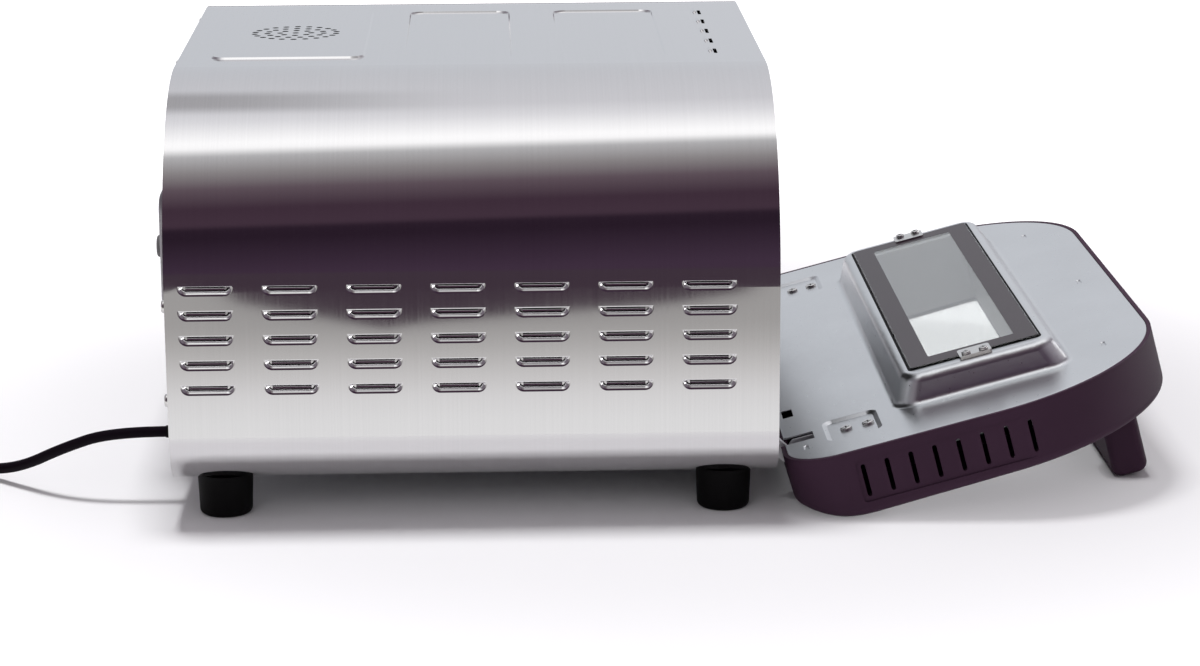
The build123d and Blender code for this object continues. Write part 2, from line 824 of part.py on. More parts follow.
def fan_guard():
    """Dished cover with round holes in its face and slots in its wall."""
    cup = Pos(0, 0, -guard_depth) * extrude(Circle(guard_radius), guard_depth)
    cup = fillet(cup.edges().group_by(Axis.Z)[0], 6)
    hollow = Pos(0, 0, -guard_depth + guard_sheet) * extrude(Circle(guard_radius - guard_sheet),
                                                             guard_depth)
    hollow = fillet(hollow.edges().group_by(Axis.Z)[0], 5)
    cup -= hollow
    holes = []
    for ring, count in ((0, 1), (12, 6), (24, 12), (36, 18)):
        for index in range(count):
            angle = index * math.tau / count
            place = (ring * math.cos(angle), ring * math.sin(angle), -guard_depth - 1)
            holes.append(rod(place, (0, 0, 1), 3.5, guard_sheet + 2))
    for index in range(16):
        slot = box(guard_radius - 6, guard_radius + 6, -2.5, 2.5, -guard_depth + 9, -5)
        holes.append(Rot(0, 0, index * 22.5) * slot)
    return fan_plane() * (cup - holes)


def fan_motor():
    low = chamber_sheet + fan_motor_stand
    stack = Pos(0, 0, low) * extrude(rounded(fan_motor_size, fan_motor_size, 4), fan_motor_length)
    coil = Pos(0, -fan_motor_size / 2 - 5, low + 6) * extrude(rounded(30, 14, 4), fan_motor_length - 12)
    motor = stack + coil
    for side in (-1, 1):
        motor += Pos(side * 17, side * 17, chamber_sheet) * extrude(Circle(3), fan_motor_stand + 1)
        motor += Pos(side * 17, -side * 17, chamber_sheet) * extrude(Circle(3), fan_motor_stand + 1)
    motor -= Pos(0, 0, chamber_sheet) * extrude(Circle(fan_shaft_radius + fan_play), casing_depth)
    return fan_plane() * motor


# Drive under the chamber floor

def drive_bearing():
    top = chamber_low - chamber_sheet
    flange = rod((0, drive_y, top - 3), (0, 0, 1), bearing_flange_radius, 3)
    body = rod((0, drive_y, top - bearing_length), (0, 0, 1), bearing_radius,
               bearing_length + chamber_sheet + 3)
    return flange + body - rod((0, drive_y, 0), (0, 0, 1), drive_shaft_radius + shaft_play, 200)


def drive_shaft():
    low = pulley_low - 3
    stem = rod((0, drive_y, low), (0, 0, 1), drive_shaft_radius, dog_low - low + 1)
    dog = Pos(0, drive_y, dog_low) * extrude(rounded(dog_length, dog_width, 2), dog_height)
    return stem + dog


def drive_pulley():
    rim = rod((0, drive_y, pulley_low), (0, 0, 1), pulley_radius, pulley_width)
    flange = rod((0, drive_y, pulley_low - 1.5), (0, 0, 1), pulley_radius + pulley_rim, 1.5)
    wheel = rim + flange
    for index in range(6):
        angle = index * math.tau / 6
        x = 32 * math.cos(angle)
        y = drive_y + 32 * math.sin(angle)
        wheel -= rod((x, y, 0), (0, 0, 1), 11, 100)
    return wheel - rod((0, drive_y, 0), (0, 0, 1), drive_shaft_radius + 0.02, 100)


def motor_pulley():
    wheel = rod((motor_x, drive_y, pulley_low), (0, 0, 1), motor_pulley_radius, pulley_width)
    wheel += rod((motor_x, drive_y, pulley_low - 1.5), (0, 0, 1), motor_pulley_radius + pulley_rim, 1.5)
    return wheel + rod((motor_x, drive_y, pulley_low), (0, 0, 1), motor_shaft_radius, 60)


def belt_outline(grow):
    """Outline of a belt over both pulleys, grown from their rims."""
    big = pulley_radius + grow
    small = motor_pulley_radius + grow
    lean = math.acos((big - small) / motor_x)
    ends = []
    for turn in (lean, -lean):
        ends.append((big * math.cos(turn), big * math.sin(turn)))
        ends.append((motor_x + small * math.cos(turn), small * math.sin(turn)))
    span = make_face(Polyline(ends[0], ends[1], ends[3], ends[2], close=True))
    return Circle(big) + span + Pos(motor_x, 0) * Circle(small)


def drive_belt():
    ring = belt_outline(belt_play + belt_thickness) - belt_outline(belt_play)
    return Pos(0, drive_y, pulley_low + 1) * extrude(ring, belt_width)


def drive_motor():
    low = bracket_z + bracket_sheet
    can = rod((motor_x, drive_y, low), (0, 0, 1), motor_radius, motor_length)
    can = fillet(can.edges().group_by(Axis.Z)[-1], 3)
    boss = rod((motor_x, drive_y, bracket_z - 2), (0, 0, 1), 7, bracket_sheet + 3)
    cap = rod((motor_x, drive_y, low + motor_length), (0, 0, 1), 8, 4)
    bore = rod((motor_x, drive_y, 0), (0, 0, 1), motor_shaft_radius + 0.06, pulley_low + 62)
    return can + boss + cap - bore


def motor_bracket():
    inner = chamber_half + chamber_sheet
    outer = half_width - casing_sheet - 3
    y0 = drive_y - bracket_half_length
    y1 = drive_y + bracket_half_length
    shelf = box(inner, outer, y0, y1, bracket_z, bracket_z + bracket_sheet)
    wall_gap = motor_x - motor_radius - inner
    wall_sheet = min(bracket_sheet, wall_gap - 0.4)
    tabs = box(inner, inner + wall_sheet, y0, y1, bracket_z, bracket_z + bracket_height)
    return shelf + tabs - rod((motor_x, drive_y, 0), (0, 0, 1), 7 + hole_play, 100)


# Bread pan

def pan_loft(grow, low, high, spread):
    base = Pos(0, 0, low) * rounded(2 * (pan_half_x - pan_draft + grow),
                                    2 * (pan_half_y - pan_draft + grow),
                                    pan_corner - 4 + grow)
    top = Pos(0, 0, high) * rounded(2 * (pan_half_x + grow + spread), 2 * (pan_half_y + grow + spread),
                                    pan_corner + grow)
    return Pos(0, drive_y, 0) * loft([base, top])


def bread_pan():
    body = pan_loft(0, pan_low, pan_high, 0)
    body = fillet(body.faces().sort_by(Axis.Z)[0].edges(), 6)
    rim = Pos(0, drive_y, pan_high - 2) * extrude(
        rounded(2 * (pan_half_x + pan_rim), 2 * (pan_half_y + pan_rim), pan_corner + pan_rim), 2)
    hollow = pan_loft(-pan_wall, pan_low + pan_wall, pan_high + 0.01, 0)
    hollow = fillet(hollow.faces().sort_by(Axis.Z)[0].edges(), 4.5)
    pan = body + rim - hollow
    ring_low = chamber_low + pan_ring_gap
    ring = rod((0, drive_y, ring_low), (0, 0, 1), pan_ring_radius, pan_low - ring_low + 0.5)
    ring -= rod((0, drive_y, 0), (0, 0, 1), pan_ring_radius - pan_ring_wall, pan_low)
    boss_low = dog_low + dog_height + 5
    boss = rod((0, drive_y, boss_low), (0, 0, 1), pan_boss_radius, pan_low + pan_wall + 5 - boss_low)
    pan = pan + ring + boss
    for side in (-1, 1):
        x = side * bail_half
        y = bail_y()
        ear = box(x - ear_size / 2, x + ear_size / 2, y - ear_size / 2, y + bail_stand + pan_wall / 2,
                  bail_z - ear_size / 2, bail_z + ear_size / 2)
        pan += ear - hollow
    pan -= rod((-pan_half_x, bail_y(), bail_z), (1, 0, 0), bail_radius + shaft_play, 2 * pan_half_x)
    return pan - rod((0, drive_y, 0), (0, 0, 1), drive_shaft_radius + shaft_play, pan_low + 30)


def bail_y():
    """Depth of the drop handle's pivot, in front of the pan's front wall."""
    lean = pan_draft * (pan_high - bail_z) / (pan_high - pan_low)
    return drive_y - pan_half_y + lean - bail_stand


def pan_handle():
    end = bail_half + ear_size / 2 + 3
    side = bail_half - ear_size / 2 - 3 - bail_radius
    y = bail_y()
    points = [(-end, y, bail_z), (-side, y, bail_z), (-side, y, bail_z - bail_drop),
              (side, y, bail_z - bail_drop),
              (side, y, bail_z), (end, y, bail_z)]
    path = FilletPolyline(*points, radius=bail_radius + 1)
    start = Plane(origin=points[0], z_dir=(1, 0, 0))
    return sweep(start * Circle(bail_radius), path=path)


def pan_shaft():
    low = dog_low + 0.5
    top = dog_low + dog_height
    disc = rod((0, drive_y, low), (0, 0, 1), coupling_radius, dog_height + 4)
    slot = Pos(0, drive_y, low - 1) * extrude(
        rounded(dog_length + 2 * coupling_play, dog_width + 2 * coupling_play,
                2.5), top + coupling_play - low + 1)
    stem = rod((0, drive_y, top + 2), (0, 0, 1), drive_shaft_radius, pan_low + 36 - top)
    return disc - slot + stem


def kneading_paddle():
    low = pan_low + pan_wall + 5 + 0.4
    hub = rod((0, drive_y, low), (0, 0, 1), paddle_hub_radius, paddle_height + 4)
    hub = fillet(hub.edges().group_by(Axis.Z)[-1], 3)
    fin = Plane(origin=(0, drive_y + paddle_thickness / 2, 0), x_dir=(1, 0, 0), z_dir=(0, -1, 0)) * extrude(
        make_face(Polyline((0, low), (paddle_reach, low), (paddle_reach, low + 10),
                           (paddle_reach - 14, low + paddle_height),
                           (0, low + paddle_height), close=True)), paddle_thickness)
    paddle = hub + fin
    return paddle - rod((0, drive_y, 0), (0, 0, 1), drive_shaft_radius + shaft_play, pan_low + 36 + 2.2)


def pan_clip(side):
    x0 = side * (pan_ring_radius + clip_gap)
    x1 = x0 + side * clip_sheet
    foot_end = x0 + side * 14
    blade = box(min(x0, x1), max(x0, x1), drive_y - clip_width / 2, drive_y + clip_width / 2,
                chamber_low, chamber_low + clip_height)
    sole = box(min(x0, foot_end), max(x0, foot_end), drive_y - clip_width / 2, drive_y + clip_width / 2,
               chamber_low, chamber_low + clip_sheet)
    return blade + sole


# Electronics in the casing

def power_board():
    wall = -(chamber_half + chamber_sheet)
    x = wall - board_stand
    end = board_front + board_length
    board = box(x - board_sheet, x, board_front, end, board_low, board_low + board_height)
    for y in (board_front + 6, end - 6):
        for z in (board_low + 6, board_low + board_height - 6):
            board += rod((wall, y, z), (-1, 0, 0), 3, board_stand + 0.5)
    face = x - board_sheet
    # Relays, a choke and connectors, then three capacitors: along the board, up it, and their sizes
    for along, up, length, height, deep in ((20, 10, 28, 14, 15), (20, 34, 28, 14, 15),
                                            (70, 14, 18, 30, 16),
                                            (100, 12, 22, 16, 12), (30, 60, 50, 16, 10)):
        y = board_front + along
        z = board_low + up
        board += box(face - deep, face + 0.2, y, y + length, z, z + height)
    for along, up in ((105, 42), (120, 42), (112, 65)):
        board += rod((face + 0.2, board_front + along, board_low + up), (-1, 0, 0), 6, 14)
    return board


def transformer():
    length, depth, height = transformer_size
    y = casing_depth - transformer_from_rear
    core = box(transformer_x - length / 2, transformer_x + length / 2, y - depth / 2 + 6, y + depth / 2 - 6,
               base_top, base_top + height)
    winding = box(transformer_x - length / 2 + 7, transformer_x + length / 2 - 7, y - depth / 2,
                  y + depth / 2,
                  base_top + 4, base_top + height - 4)
    return core + fillet(winding.edges().filter_by(Axis.Z), 4)


# Hinges

def hinge_bracket(side):
    x = side * hinge_x
    foot_front = frame_front - arm_foot_sheet
    plate = box(x - arm_foot_half, x + arm_foot_half, foot_front, frame_front, arm_foot_low, arm_foot_high)
    outline = make_face(Polyline((frame_front, base_top + 1), (frame_front, arm_root_high),
                                 (-door_gap, arm_root_high - 5),
                                 (-hinge_forward, hinge_height + arm_end_radius),
                                 (-hinge_forward - arm_end_radius, hinge_height), (-hinge_forward,
                                                                                   hinge_height - 3),
                                 (-hinge_forward + 4, hinge_height - 2), close=True))
    outline += Pos(-hinge_forward, hinge_height) * Circle(arm_end_radius)
    arm_plane = Plane(origin=(x - arm_half, 0, 0), x_dir=(0, 1, 0), z_dir=(1, 0, 0))
    bracket = plate + extrude(arm_plane * outline, 2 * arm_half)
    bracket -= rod((x - 20, -hinge_forward, hinge_height), (1, 0, 0), hinge_pin_radius + arm_play, 40)
    for place, z in bracket_screw_places():
        bracket -= rod((place, -5, z), (0, 1, 0), screw_radius + hole_play, 10)
    return bracket


def hinge_pin(side):
    x = side * hinge_x - hinge_pin_half
    return rod((x, -hinge_forward, hinge_height), (1, 0, 0), hinge_pin_radius, 2 * hinge_pin_half)


def hinge_leaf(side):
    """Plate under the door panel with two ears on the hinge pin, in the door's frame."""
    x = side * hinge_x
    back = hinge_pad_depth + panel_sheet
    leaf = box(x - leaf_half, x + leaf_half, leaf_low, leaf_high, back, back + leaf_sheet)
    high = ear_below_panel
    outline = make_face(Polyline((leaf_low + 10, back), (leaf_low + 10, back + leaf_sheet),
                                 (hinge_s, hinge_d + ear_radius), (hinge_s - ear_radius, hinge_d),
                                 (hinge_s + 1, high + 1.5), (hinge_s + 3, high), (notch_high - 0.5, high),
                                 (leaf_low + 0.5, back), close=True))
    outline += Pos(hinge_s, hinge_d) * Circle(ear_radius)
    for start in (arm_half + ear_gap, -arm_half - ear_gap - ear_sheet):
        plane = Plane(origin=(x + start, 0, 0), x_dir=(0, 1, 0), z_dir=(1, 0, 0))
        leaf += extrude(plane * outline, ear_sheet)
    leaf -= rod((x - 20, hinge_s, hinge_d), (1, 0, 0), hinge_pin_radius + shaft_play, 40)
    for s in leaf_screw_s:
        leaf -= rod((side * leaf_screw_x, s, 0), (0, 0, 1), leaf_screw_radius + hole_play, 10)
    return leaf


# Door, in its own frame

def door_outline(inset):
    low = door_low_s + inset
    high = door_high_s - inset
    return arched(casing_width - 2 * inset, low, high, door_bottom_radius - inset, door_top_radius - inset)


def door_profile(inset, start):
    """Prism of the door's side profile, set in from its outside, that starts at depth d = start."""
    lean = math.atan(face_slope)
    drop = inset / math.cos(lean)
    toe = math.atan2(door_deep_depth - door_toe_depth, door_deep_s - door_low_s)
    toe_drop = inset / math.cos(toe)
    # Where the sunk toe slope and the sunk outer face meet
    toe_slope = math.tan(toe)
    deep_s = door_deep_s + (toe_drop - drop) / (toe_slope + face_slope)
    deep_d = door_deep_depth - drop - face_slope * (deep_s - door_deep_s)
    low = door_low_s - 1
    high = door_high_s + 1
    toe_d = door_toe_depth - toe_drop - toe_slope * 1
    high_d = door_deep_depth - drop - face_slope * (high - door_deep_s)
    side = make_face(Polyline((low, start), (low, toe_d), (deep_s, deep_d), (high, high_d), (high, start),
                              close=True))
    belly = side.vertices().sort_by_distance((deep_s, deep_d, 0))[0]
    side = fillet(belly, door_belly_radius - inset)
    plane = Plane(origin=(-half_width - 1, 0, 0), x_dir=(0, 1, 0), z_dir=(1, 0, 0))
    return extrude(plane * side, casing_width + 2)


def face_plane(s):
    """Plane on the door's sloping outer face at a height s: x across, then up the face, then outwards."""
    d = door_deep_depth - face_slope * (s - door_deep_s)
    return Plane(origin=(0, s, d), x_dir=(1, 0, 0), z_dir=(0, face_slope, 1))


def door_body():
    return extrude(door_outline(0), door_deep_depth + 10) & door_profile(0, 0)


def on_belly(edge):
    """Whether an edge is a smooth seam across the outer face instead of part of its rim."""
    middle = edge.center()
    return abs(middle.X) < 1 and door_low_s + 1 < middle.Y < door_high_s - 1


def side_vent_cuts():
    low_s = side_vent_first - side_vent_width / 2 - side_recess_margin
    high_s = side_vent_first + (side_vents - 1) * side_vent_pitch + side_vent_width / 2 + side_recess_margin
    low_d = side_vent_low - side_recess_margin
    high_d = side_vent_low + side_vent_length + side_recess_margin
    for side in (-1, 1):
        plane = Plane(origin=(side * half_width, 0, 0), x_dir=(0, 1, 0), z_dir=(1, 0, 0))
        frame = rounded(high_s - low_s, high_d - low_d, 2, ((low_s + high_s) / 2, (low_d + high_d) / 2))
        yield plane * extrude(frame, side_recess_depth, both=True)
        for index in range(side_vents):
            s = side_vent_first + index * side_vent_pitch
            slot = Pos(s, side_vent_low + side_vent_length / 2) * SlotOverall(side_vent_length,
                                                                              side_vent_width, rotation=90)
            yield plane * extrude(slot, 3 * (door_rim + door_ledge), both=True)


def notch(side):
    x = side * hinge_x
    return box(x - notch_half, x + notch_half, door_low_s - 5, notch_high, -5, notch_depth)


def door_shell():
    body = door_body()
    rim_faces = body.faces().filter_by(lambda f: f.normal_at().Z > 0.5)
    rim = [edge for edge in rim_faces.edges() if not on_belly(edge)]
    body = fillet(rim, door_edge)
    ledge = door_rim + door_ledge
    hollow = extrude(door_outline(ledge), door_deep_depth + 10) & door_profile(door_wall, -1)
    shell = body - hollow
    shell -= Pos(0, 0, -1) * extrude(door_outline(door_rim - 0.15), 1 + panel_sheet)
    # Thicker wall behind the outer glass and the control fascia
    for s, size in ((window_s, outer_glass_size), (fascia_s, fascia_size)):
        wall = Pos(0, 0, -door_wall - pad_wall) * extrude(rounded(size[0] + 10, size[1] + 8, 6),
                                                          pad_wall + 0.5)
        shell += face_plane(s) * wall
    window = Pos(0, 0, -10) * extrude(rounded(*outer_window_size, 6), 20)
    seat = Pos(0, 0, -outer_glass_thickness) * extrude(
        rounded(outer_glass_size[0] + 2 * fit_gap, outer_glass_size[1] + 2 * fit_gap, 8), 20)
    shell -= face_plane(window_s) * (window + seat)
    opening = Pos(0, 0, -10) * extrude(rounded(*fascia_opening, 6), 20)
    seat = Pos(0, 0, -fascia_thickness) * extrude(
        rounded(fascia_size[0] + 2 * fit_gap, fascia_size[1] + 2 * fit_gap, 8), 20)
    shell -= face_plane(fascia_s) * (opening + seat)
    low = board_top()
    for x, t in board_posts():
        post = Pos(x, t, low) * extrude(Circle(3), -low - door_wall - 0.5)
        shell += face_plane(fascia_s) * post
    for side in (-1, 1):
        shell -= notch(side)
    for x, t in handle_screw_places():
        shell -= face_plane(handle_mid()) * Pos(x, t, -20) * extrude(Circle(screw_radius + hole_play), 40)
    return shell - list(side_vent_cuts())


def hood_block(base, top, low, high, corner):
    """Raised window frame between two depths, both towards the oven."""
    lower = Pos(0, window_s, low) * RectangleRounded(*base, corner)
    upper = Pos(0, window_s, high) * RectangleRounded(*top, corner)
    return loft([upper, lower])


def hinge_pads():
    width = hinge_pad_x[1] - hinge_pad_x[0]
    height = hinge_pad_s[1] - hinge_pad_s[0]
    middle_s = sum(hinge_pad_s) / 2
    for side in (-1, 1):
        yield side * sum(hinge_pad_x) / 2, middle_s, width, height


def dimple_places():
    yield 0, dimple_middle_s
    for x, s in (dimple_upper, dimple_lower):
        yield -x, s
        yield x, s


def door_inner_panel():
    plate = extrude(door_outline(door_rim), panel_sheet)
    plate = fillet(plate.edges().group_by(Axis.Z)[0], panel_edge)
    hood = hood_block(hood_base, hood_top, 0.2, -hood_rise, hood_corner)
    panel = plate + hood
    top_edges = panel.faces().sort_by(Axis.Z)[0].edges()
    panel = fillet(top_edges, hood_edge)
    root = panel.edges().filter_by_position(Axis.Z, -0.01, 0.01).filter_by(
        lambda e: abs(e.center().X) < hood_base[0] / 2 + 1 and abs(e.center().Y
                                                                   - window_s) < hood_base[1] / 2 + 1)
    panel = fillet(root, hood_root)
    thin = 2 * panel_sheet
    floor = hood_rise - glass_step
    panel -= hood_block((hood_base[0] - thin, hood_base[1] - thin),
                        (hood_top[0] - thin, hood_top[1] - thin),
                        panel_sheet + 1, -floor + panel_sheet, hood_corner - panel_sheet)
    seat = (glass_size[0] + 2 * glass_margin, glass_size[1] + 2 * glass_margin)
    panel -= Pos(0, window_s, -floor) * extrude(rounded(*seat, 3), -20)
    panel -= Pos(0, window_s, 5) * extrude(rounded(*frame_clear, 4), -40)
    for x, s, width, height in hinge_pads():
        tray = rounded(width, height, hinge_pad_corner, (x, s))
        panel += extrude(tray, hinge_pad_depth + panel_sheet)
        inner = rounded(width - thin, height - thin, hinge_pad_corner - panel_sheet, (x, s))
        panel -= extrude(inner, hinge_pad_depth, taper=hinge_pad_draft)
        rim = panel.edges().filter_by_position(Axis.Z, -0.01, 0.01).filter_by(
            lambda e: abs(e.center().X - x) < width / 2 and abs(e.center().Y - s) < height / 2)
        panel = fillet(rim, hinge_pad_rim)
    for side in (-1, 1):
        panel -= notch(side)
        for s in leaf_screw_s:
            panel -= rod((side * leaf_screw_x, s, -5), (0, 0, 1), leaf_screw_radius + hole_play, 12)
        for step in (-0.5, 0.5):
            place = (side * glass_clip_screw_x, window_s + step * glass_clip_screw_spacing, -30)
            panel -= rod(place, (0, 0, 1), small_screw_radius + hole_play, 30)
    panel -= box(*cable_hole_x, *cable_hole_s, -2, 4)
    for x, s in dimple_places():
        panel -= Pos(x, s, 0) * extrude(SlotOverall(dimple_length, dimple_width), dimple_depth,
                                         taper=dimple_draft)
    return panel


def glass_low():
    """Depth of the inner glass's under face."""
    return -(hood_rise - glass_step) - seal_thickness


def glass_seal():
    """Black seal under the inner glass, with a lip round its edge."""
    outer = rounded(glass_size[0] + 2 * glass_margin - 0.4, glass_size[1] + 2 * glass_margin - 0.4, 3)
    inner = rounded(glass_size[0] - 2 * seal_land, glass_size[1] - 2 * seal_land, 3)
    collar = rounded(glass_size[0] + 0.2, glass_size[1] + 0.2, 2.5)
    ring = extrude(outer - inner, -seal_thickness) + Pos(0, 0, -seal_thickness) * extrude(outer - collar,
                                                                                          -2.3)
    return Pos(0, window_s, -(hood_rise - glass_step)) * ring


def inner_glass():
    pane = extrude(rounded(*glass_size, 2.5), -glass_thickness)
    pane = chamfer(pane.edges().group_by(Axis.Z)[0], 0.4)
    return Pos(0, window_s, glass_low()) * pane


def glass_clip(side):
    top = glass_low() - glass_thickness
    x0, x1 = sorted((side * glass_clip_inner, side * glass_clip_outer))
    low_s = window_s - glass_clip_half
    high_s = window_s + glass_clip_half
    clip = box(x0, x1, low_s, high_s, top - glass_clip_sheet, top)
    clip = fillet(clip.edges().filter_by(Axis.Z), 2)
    step = side * (glass_size[0] / 2 + glass_margin + 0.3)
    x2, x3 = sorted((step, side * glass_clip_outer))
    clip += fillet(box(x2, x3, low_s, high_s, top - glass_clip_sheet,
                       -hood_rise).edges().filter_by(Axis.Z), 1)
    for place in (-0.5, 0.5):
        start = (side * glass_clip_screw_x, window_s + place * glass_clip_screw_spacing, -30)
        clip -= rod(start, (0, 0, 1), small_screw_radius + hole_play, 30)
    return clip


def door_screws():
    solids = []
    clip_face = glass_low() - glass_thickness - glass_clip_sheet
    for side in (-1, 1):
        for step in (-0.5, 0.5):
            place = (side * glass_clip_screw_x, window_s + step * glass_clip_screw_spacing, clip_face)
            head = rod(place, (0, 0, -1), small_head_radius, small_head_height)
            head = fillet(head.edges().group_by(Axis.Z)[0], 0.8)
            head -= cross_recess((place[0], place[1], place[2] - small_head_height), (0, 0, -1), 1.5)
            solids.append(head + rod(place, (0, 0, 1), small_screw_radius, 5))
        for s in leaf_screw_s:
            place = (side * leaf_screw_x, s, hinge_pad_depth)
            head = rod(place, (0, 0, -1), leaf_head_radius, hinge_pad_depth)
            head = fillet(head.edges().group_by(Axis.Z)[0], 0.8)
            head -= cross_recess((place[0], place[1], 0), (0, 0, -1), 2.0)
            solids.append(head + rod(place, (0, 0, 1), leaf_screw_radius, 6))
    for x, t in handle_screw_places():
        head = Pos(x, t, -door_wall) * extrude(Circle(screw_head_radius), -2.2)
        shank = Pos(x, t, -door_wall) * extrude(Circle(screw_radius), 16)
        solids.append(face_plane(handle_mid()) * (head + shank))
    return solids


def window_tunnel():
    size = (glass_clear[0] + 2 * tunnel_margin[0], glass_clear[1] + 2 * tunnel_margin[1])
    low = -(hood_rise - glass_step) + panel_sheet + 0.2
    tube = rounded(size[0] + 2 * tunnel_wall, size[1] + 2 * tunnel_wall, 5) - rounded(*size, 4)
    collar = rounded(frame_clear[0] + 14, frame_clear[1] + 10, 5) - rounded(*size, 4)
    duct = Pos(0, window_s, low) * (extrude(tube, door_deep_depth - low) + extrude(collar, tunnel_wall))
    return duct & door_profile(door_wall + pad_wall + 0.2, -40)


def outer_glass():
    pane = Pos(0, 0, -outer_glass_thickness) * extrude(rounded(*outer_glass_size, 7.5),
                                                       outer_glass_thickness - 0.2)
    return face_plane(window_s) * pane


# Controls on the outer face

def button_places():
    for index, name in enumerate(button_names):
        side = -1 if index < len(button_names) / 2 else 1
        step = index if side < 0 else index - len(button_names) // 2
        away = 2 - step if side < 0 else step
        x = side * (button_first_x + away * button_spacing)
        yield name, x


def control_fascia():
    plate = Pos(0, 0, -fascia_thickness) * extrude(rounded(*fascia_size, 7.5), fascia_thickness)
    plate -= Pos(0, 0, -5) * extrude(rounded(*display_window, 2), 10)
    for name, x in button_places():
        plate -= Pos(x, 0, -5) * extrude(Circle(button_radius + fit_gap), 10)
    return face_plane(fascia_s) * plate


def button(x):
    flange_top = -fascia_thickness - fit_gap
    cap = Pos(0, 0, flange_top) * extrude(Circle(button_radius), button_proud - flange_top)
    cap = fillet(cap.edges().group_by(Axis.Z)[-1], 0.8)
    flange = Pos(0, 0, flange_top) * extrude(Circle(button_flange_radius), -button_flange)
    stem = Pos(0, 0, flange_top) * extrude(Circle(2.5), -button_stem)
    return face_plane(fascia_s) * Pos(x, 0, 0) * (cap + flange + stem)


def board_top():
    """Height of the control board's face, so that a pressed button meets its switch."""
    return -fascia_thickness - fit_gap - button_stem - button_travel - fit_gap - 3


def board_posts():
    x = control_board_size[0] / 2 - 3.5
    t = control_board_size[1] / 2 - 3.2
    return [(side * x, up * t) for side in (-1, 1) for up in (-1, 1)]


def control_board():
    top = board_top()
    board = Pos(0, 0, top) * extrude(rounded(*control_board_size, 2), -board_sheet)
    for name, x in button_places():
        board += Pos(x, 0, top - 0.2) * extrude(rounded(switch_size, switch_size, 0.5), 3.2)
    plug_x = control_board_size[0] / 2 - 31
    for x in (-plug_x, plug_x):
        board += Pos(x, 0, top - board_sheet + 0.2) * extrude(rounded(16, 12, 1), -3)
    return face_plane(fascia_s) * board


def display():
    top = board_top()
    module = Pos(0, 0, top) * extrude(rounded(*display_size, 1), -top - fascia_thickness - 0.1)
    return face_plane(fascia_s) * module


# Handle

def handle_mid():
    return (handle_low + handle_high) / 2


def handle_reach():
    """Depth of the grip's outside, so that the open door rests with its lower corner just off the floor."""
    back = hinge_d
    low_s = handle_low + handle_edge
    hinge_to_s = low_s - hinge_s
    centre_height = handle_edge + handle_rest_gap
    # Height of a door point at rest: hinge height + (s - hinge s) sin tilt - (d - hinge d) cos tilt
    centre_d = back + (hinge_height + hinge_to_s * math.sin(tilt) - centre_height) / math.cos(tilt)
    return centre_d + handle_edge


def handle_screw_places():
    places = []
    for side in (-1, 1):
        for step in (-0.5, 0.5):
            places.append((side * handle_screw_x + step * handle_screw_spacing, 0))
    return places


def door_handle():
    reach = handle_reach()
    block = box(-handle_half, handle_half, handle_low, handle_high, door_top_depth - 6, reach)
    block = fillet(block.edges().filter_by(Axis.X).group_by(Axis.Z)[-1], handle_edge)
    for end in (0, -1):
        end_face = block.faces().sort_by(Axis.X)[end]
        edges = end_face.edges().filter_by(lambda e: e.center().Z > door_top_depth)
        block = fillet(edges, handle_end_edge)
    span = handle_half - handle_post
    gap = box(-span, span, handle_low - 10, handle_high + 10, 0, reach - handle_grip)
    gap = fillet(gap.edges().filter_by(Axis.Y).group_by(Axis.Z)[-1], 8)
    handle = block - gap - door_body()
    for x, t in handle_screw_places():
        handle -= face_plane(handle_mid()) * Pos(x, t, -5) * extrude(Circle(screw_radius + hole_play / 2),
                                                                     20)
    return handle


# Mains cord

def cord_gland():
    inside = rod((gland_x, panel_front - 4, gland_z), (0, 1, 0), gland_radius, 4 + casing_sheet)
    nut = rod((gland_x, panel_front - 3, gland_z), (0, 1, 0), gland_collar, 3)
    collar = rod((gland_x, panel_rear, gland_z), (0, 1, 0), gland_collar, 2.5)
    start = Plane(origin=(gland_x, panel_rear + 2.5, gland_z), z_dir=(0, 1, 0))
    end = Plane(origin=(gland_x, casing_depth + gland_tail, gland_z), z_dir=(0, 1, 0))
    sleeve = loft([start * Circle(gland_neck_radius), end * Circle(gland_end_radius)])
    return inside + nut + collar + sleeve


def route_points():
    points = [Vector(gland_x, casing_depth + gland_tail, gland_z)]
    return points + [Vector(gland_x + x, casing_depth + y, z) for x, y, z in cord_route]


def mains_cord():
    points = route_points()
    radii = []
    for before, here, after in zip(points, points[1:], points[2:]):
        turn = math.radians((here - before).get_angle(after - here))
        radii.append(0.45 * min((here - before).length, (after - here).length) / math.tan(turn / 2))
    path = FilletPolyline(*points, radius=radii)
    start = Plane(origin=points[0], z_dir=points[1] - points[0])
    tube = sweep(start * Circle(cord_diameter / 2), path=path)
    ideal = path.length * math.pi * cord_diameter ** 2 / 4
    print("cord radii", [round(r, 1) for r in radii], "length", round(path.length, 1),
          "volume ratio", round(tube.volume / ideal, 5))
    return tube


def coil_place():
    """Coil centre and the angle at which the cord joins it, so that the cord runs in tangentially."""
    points = route_points()
    run = (points[-1] - points[-2]).normalized()
    outer = coil_mid_radius + coil_pitch * coil_turns / 4
    centre = points[-1] + Vector(-run.Y, run.X, 0) * outer
    angle = math.atan2(points[-1].Y - centre.Y, points[-1].X - centre.X)
    return centre, angle, outer


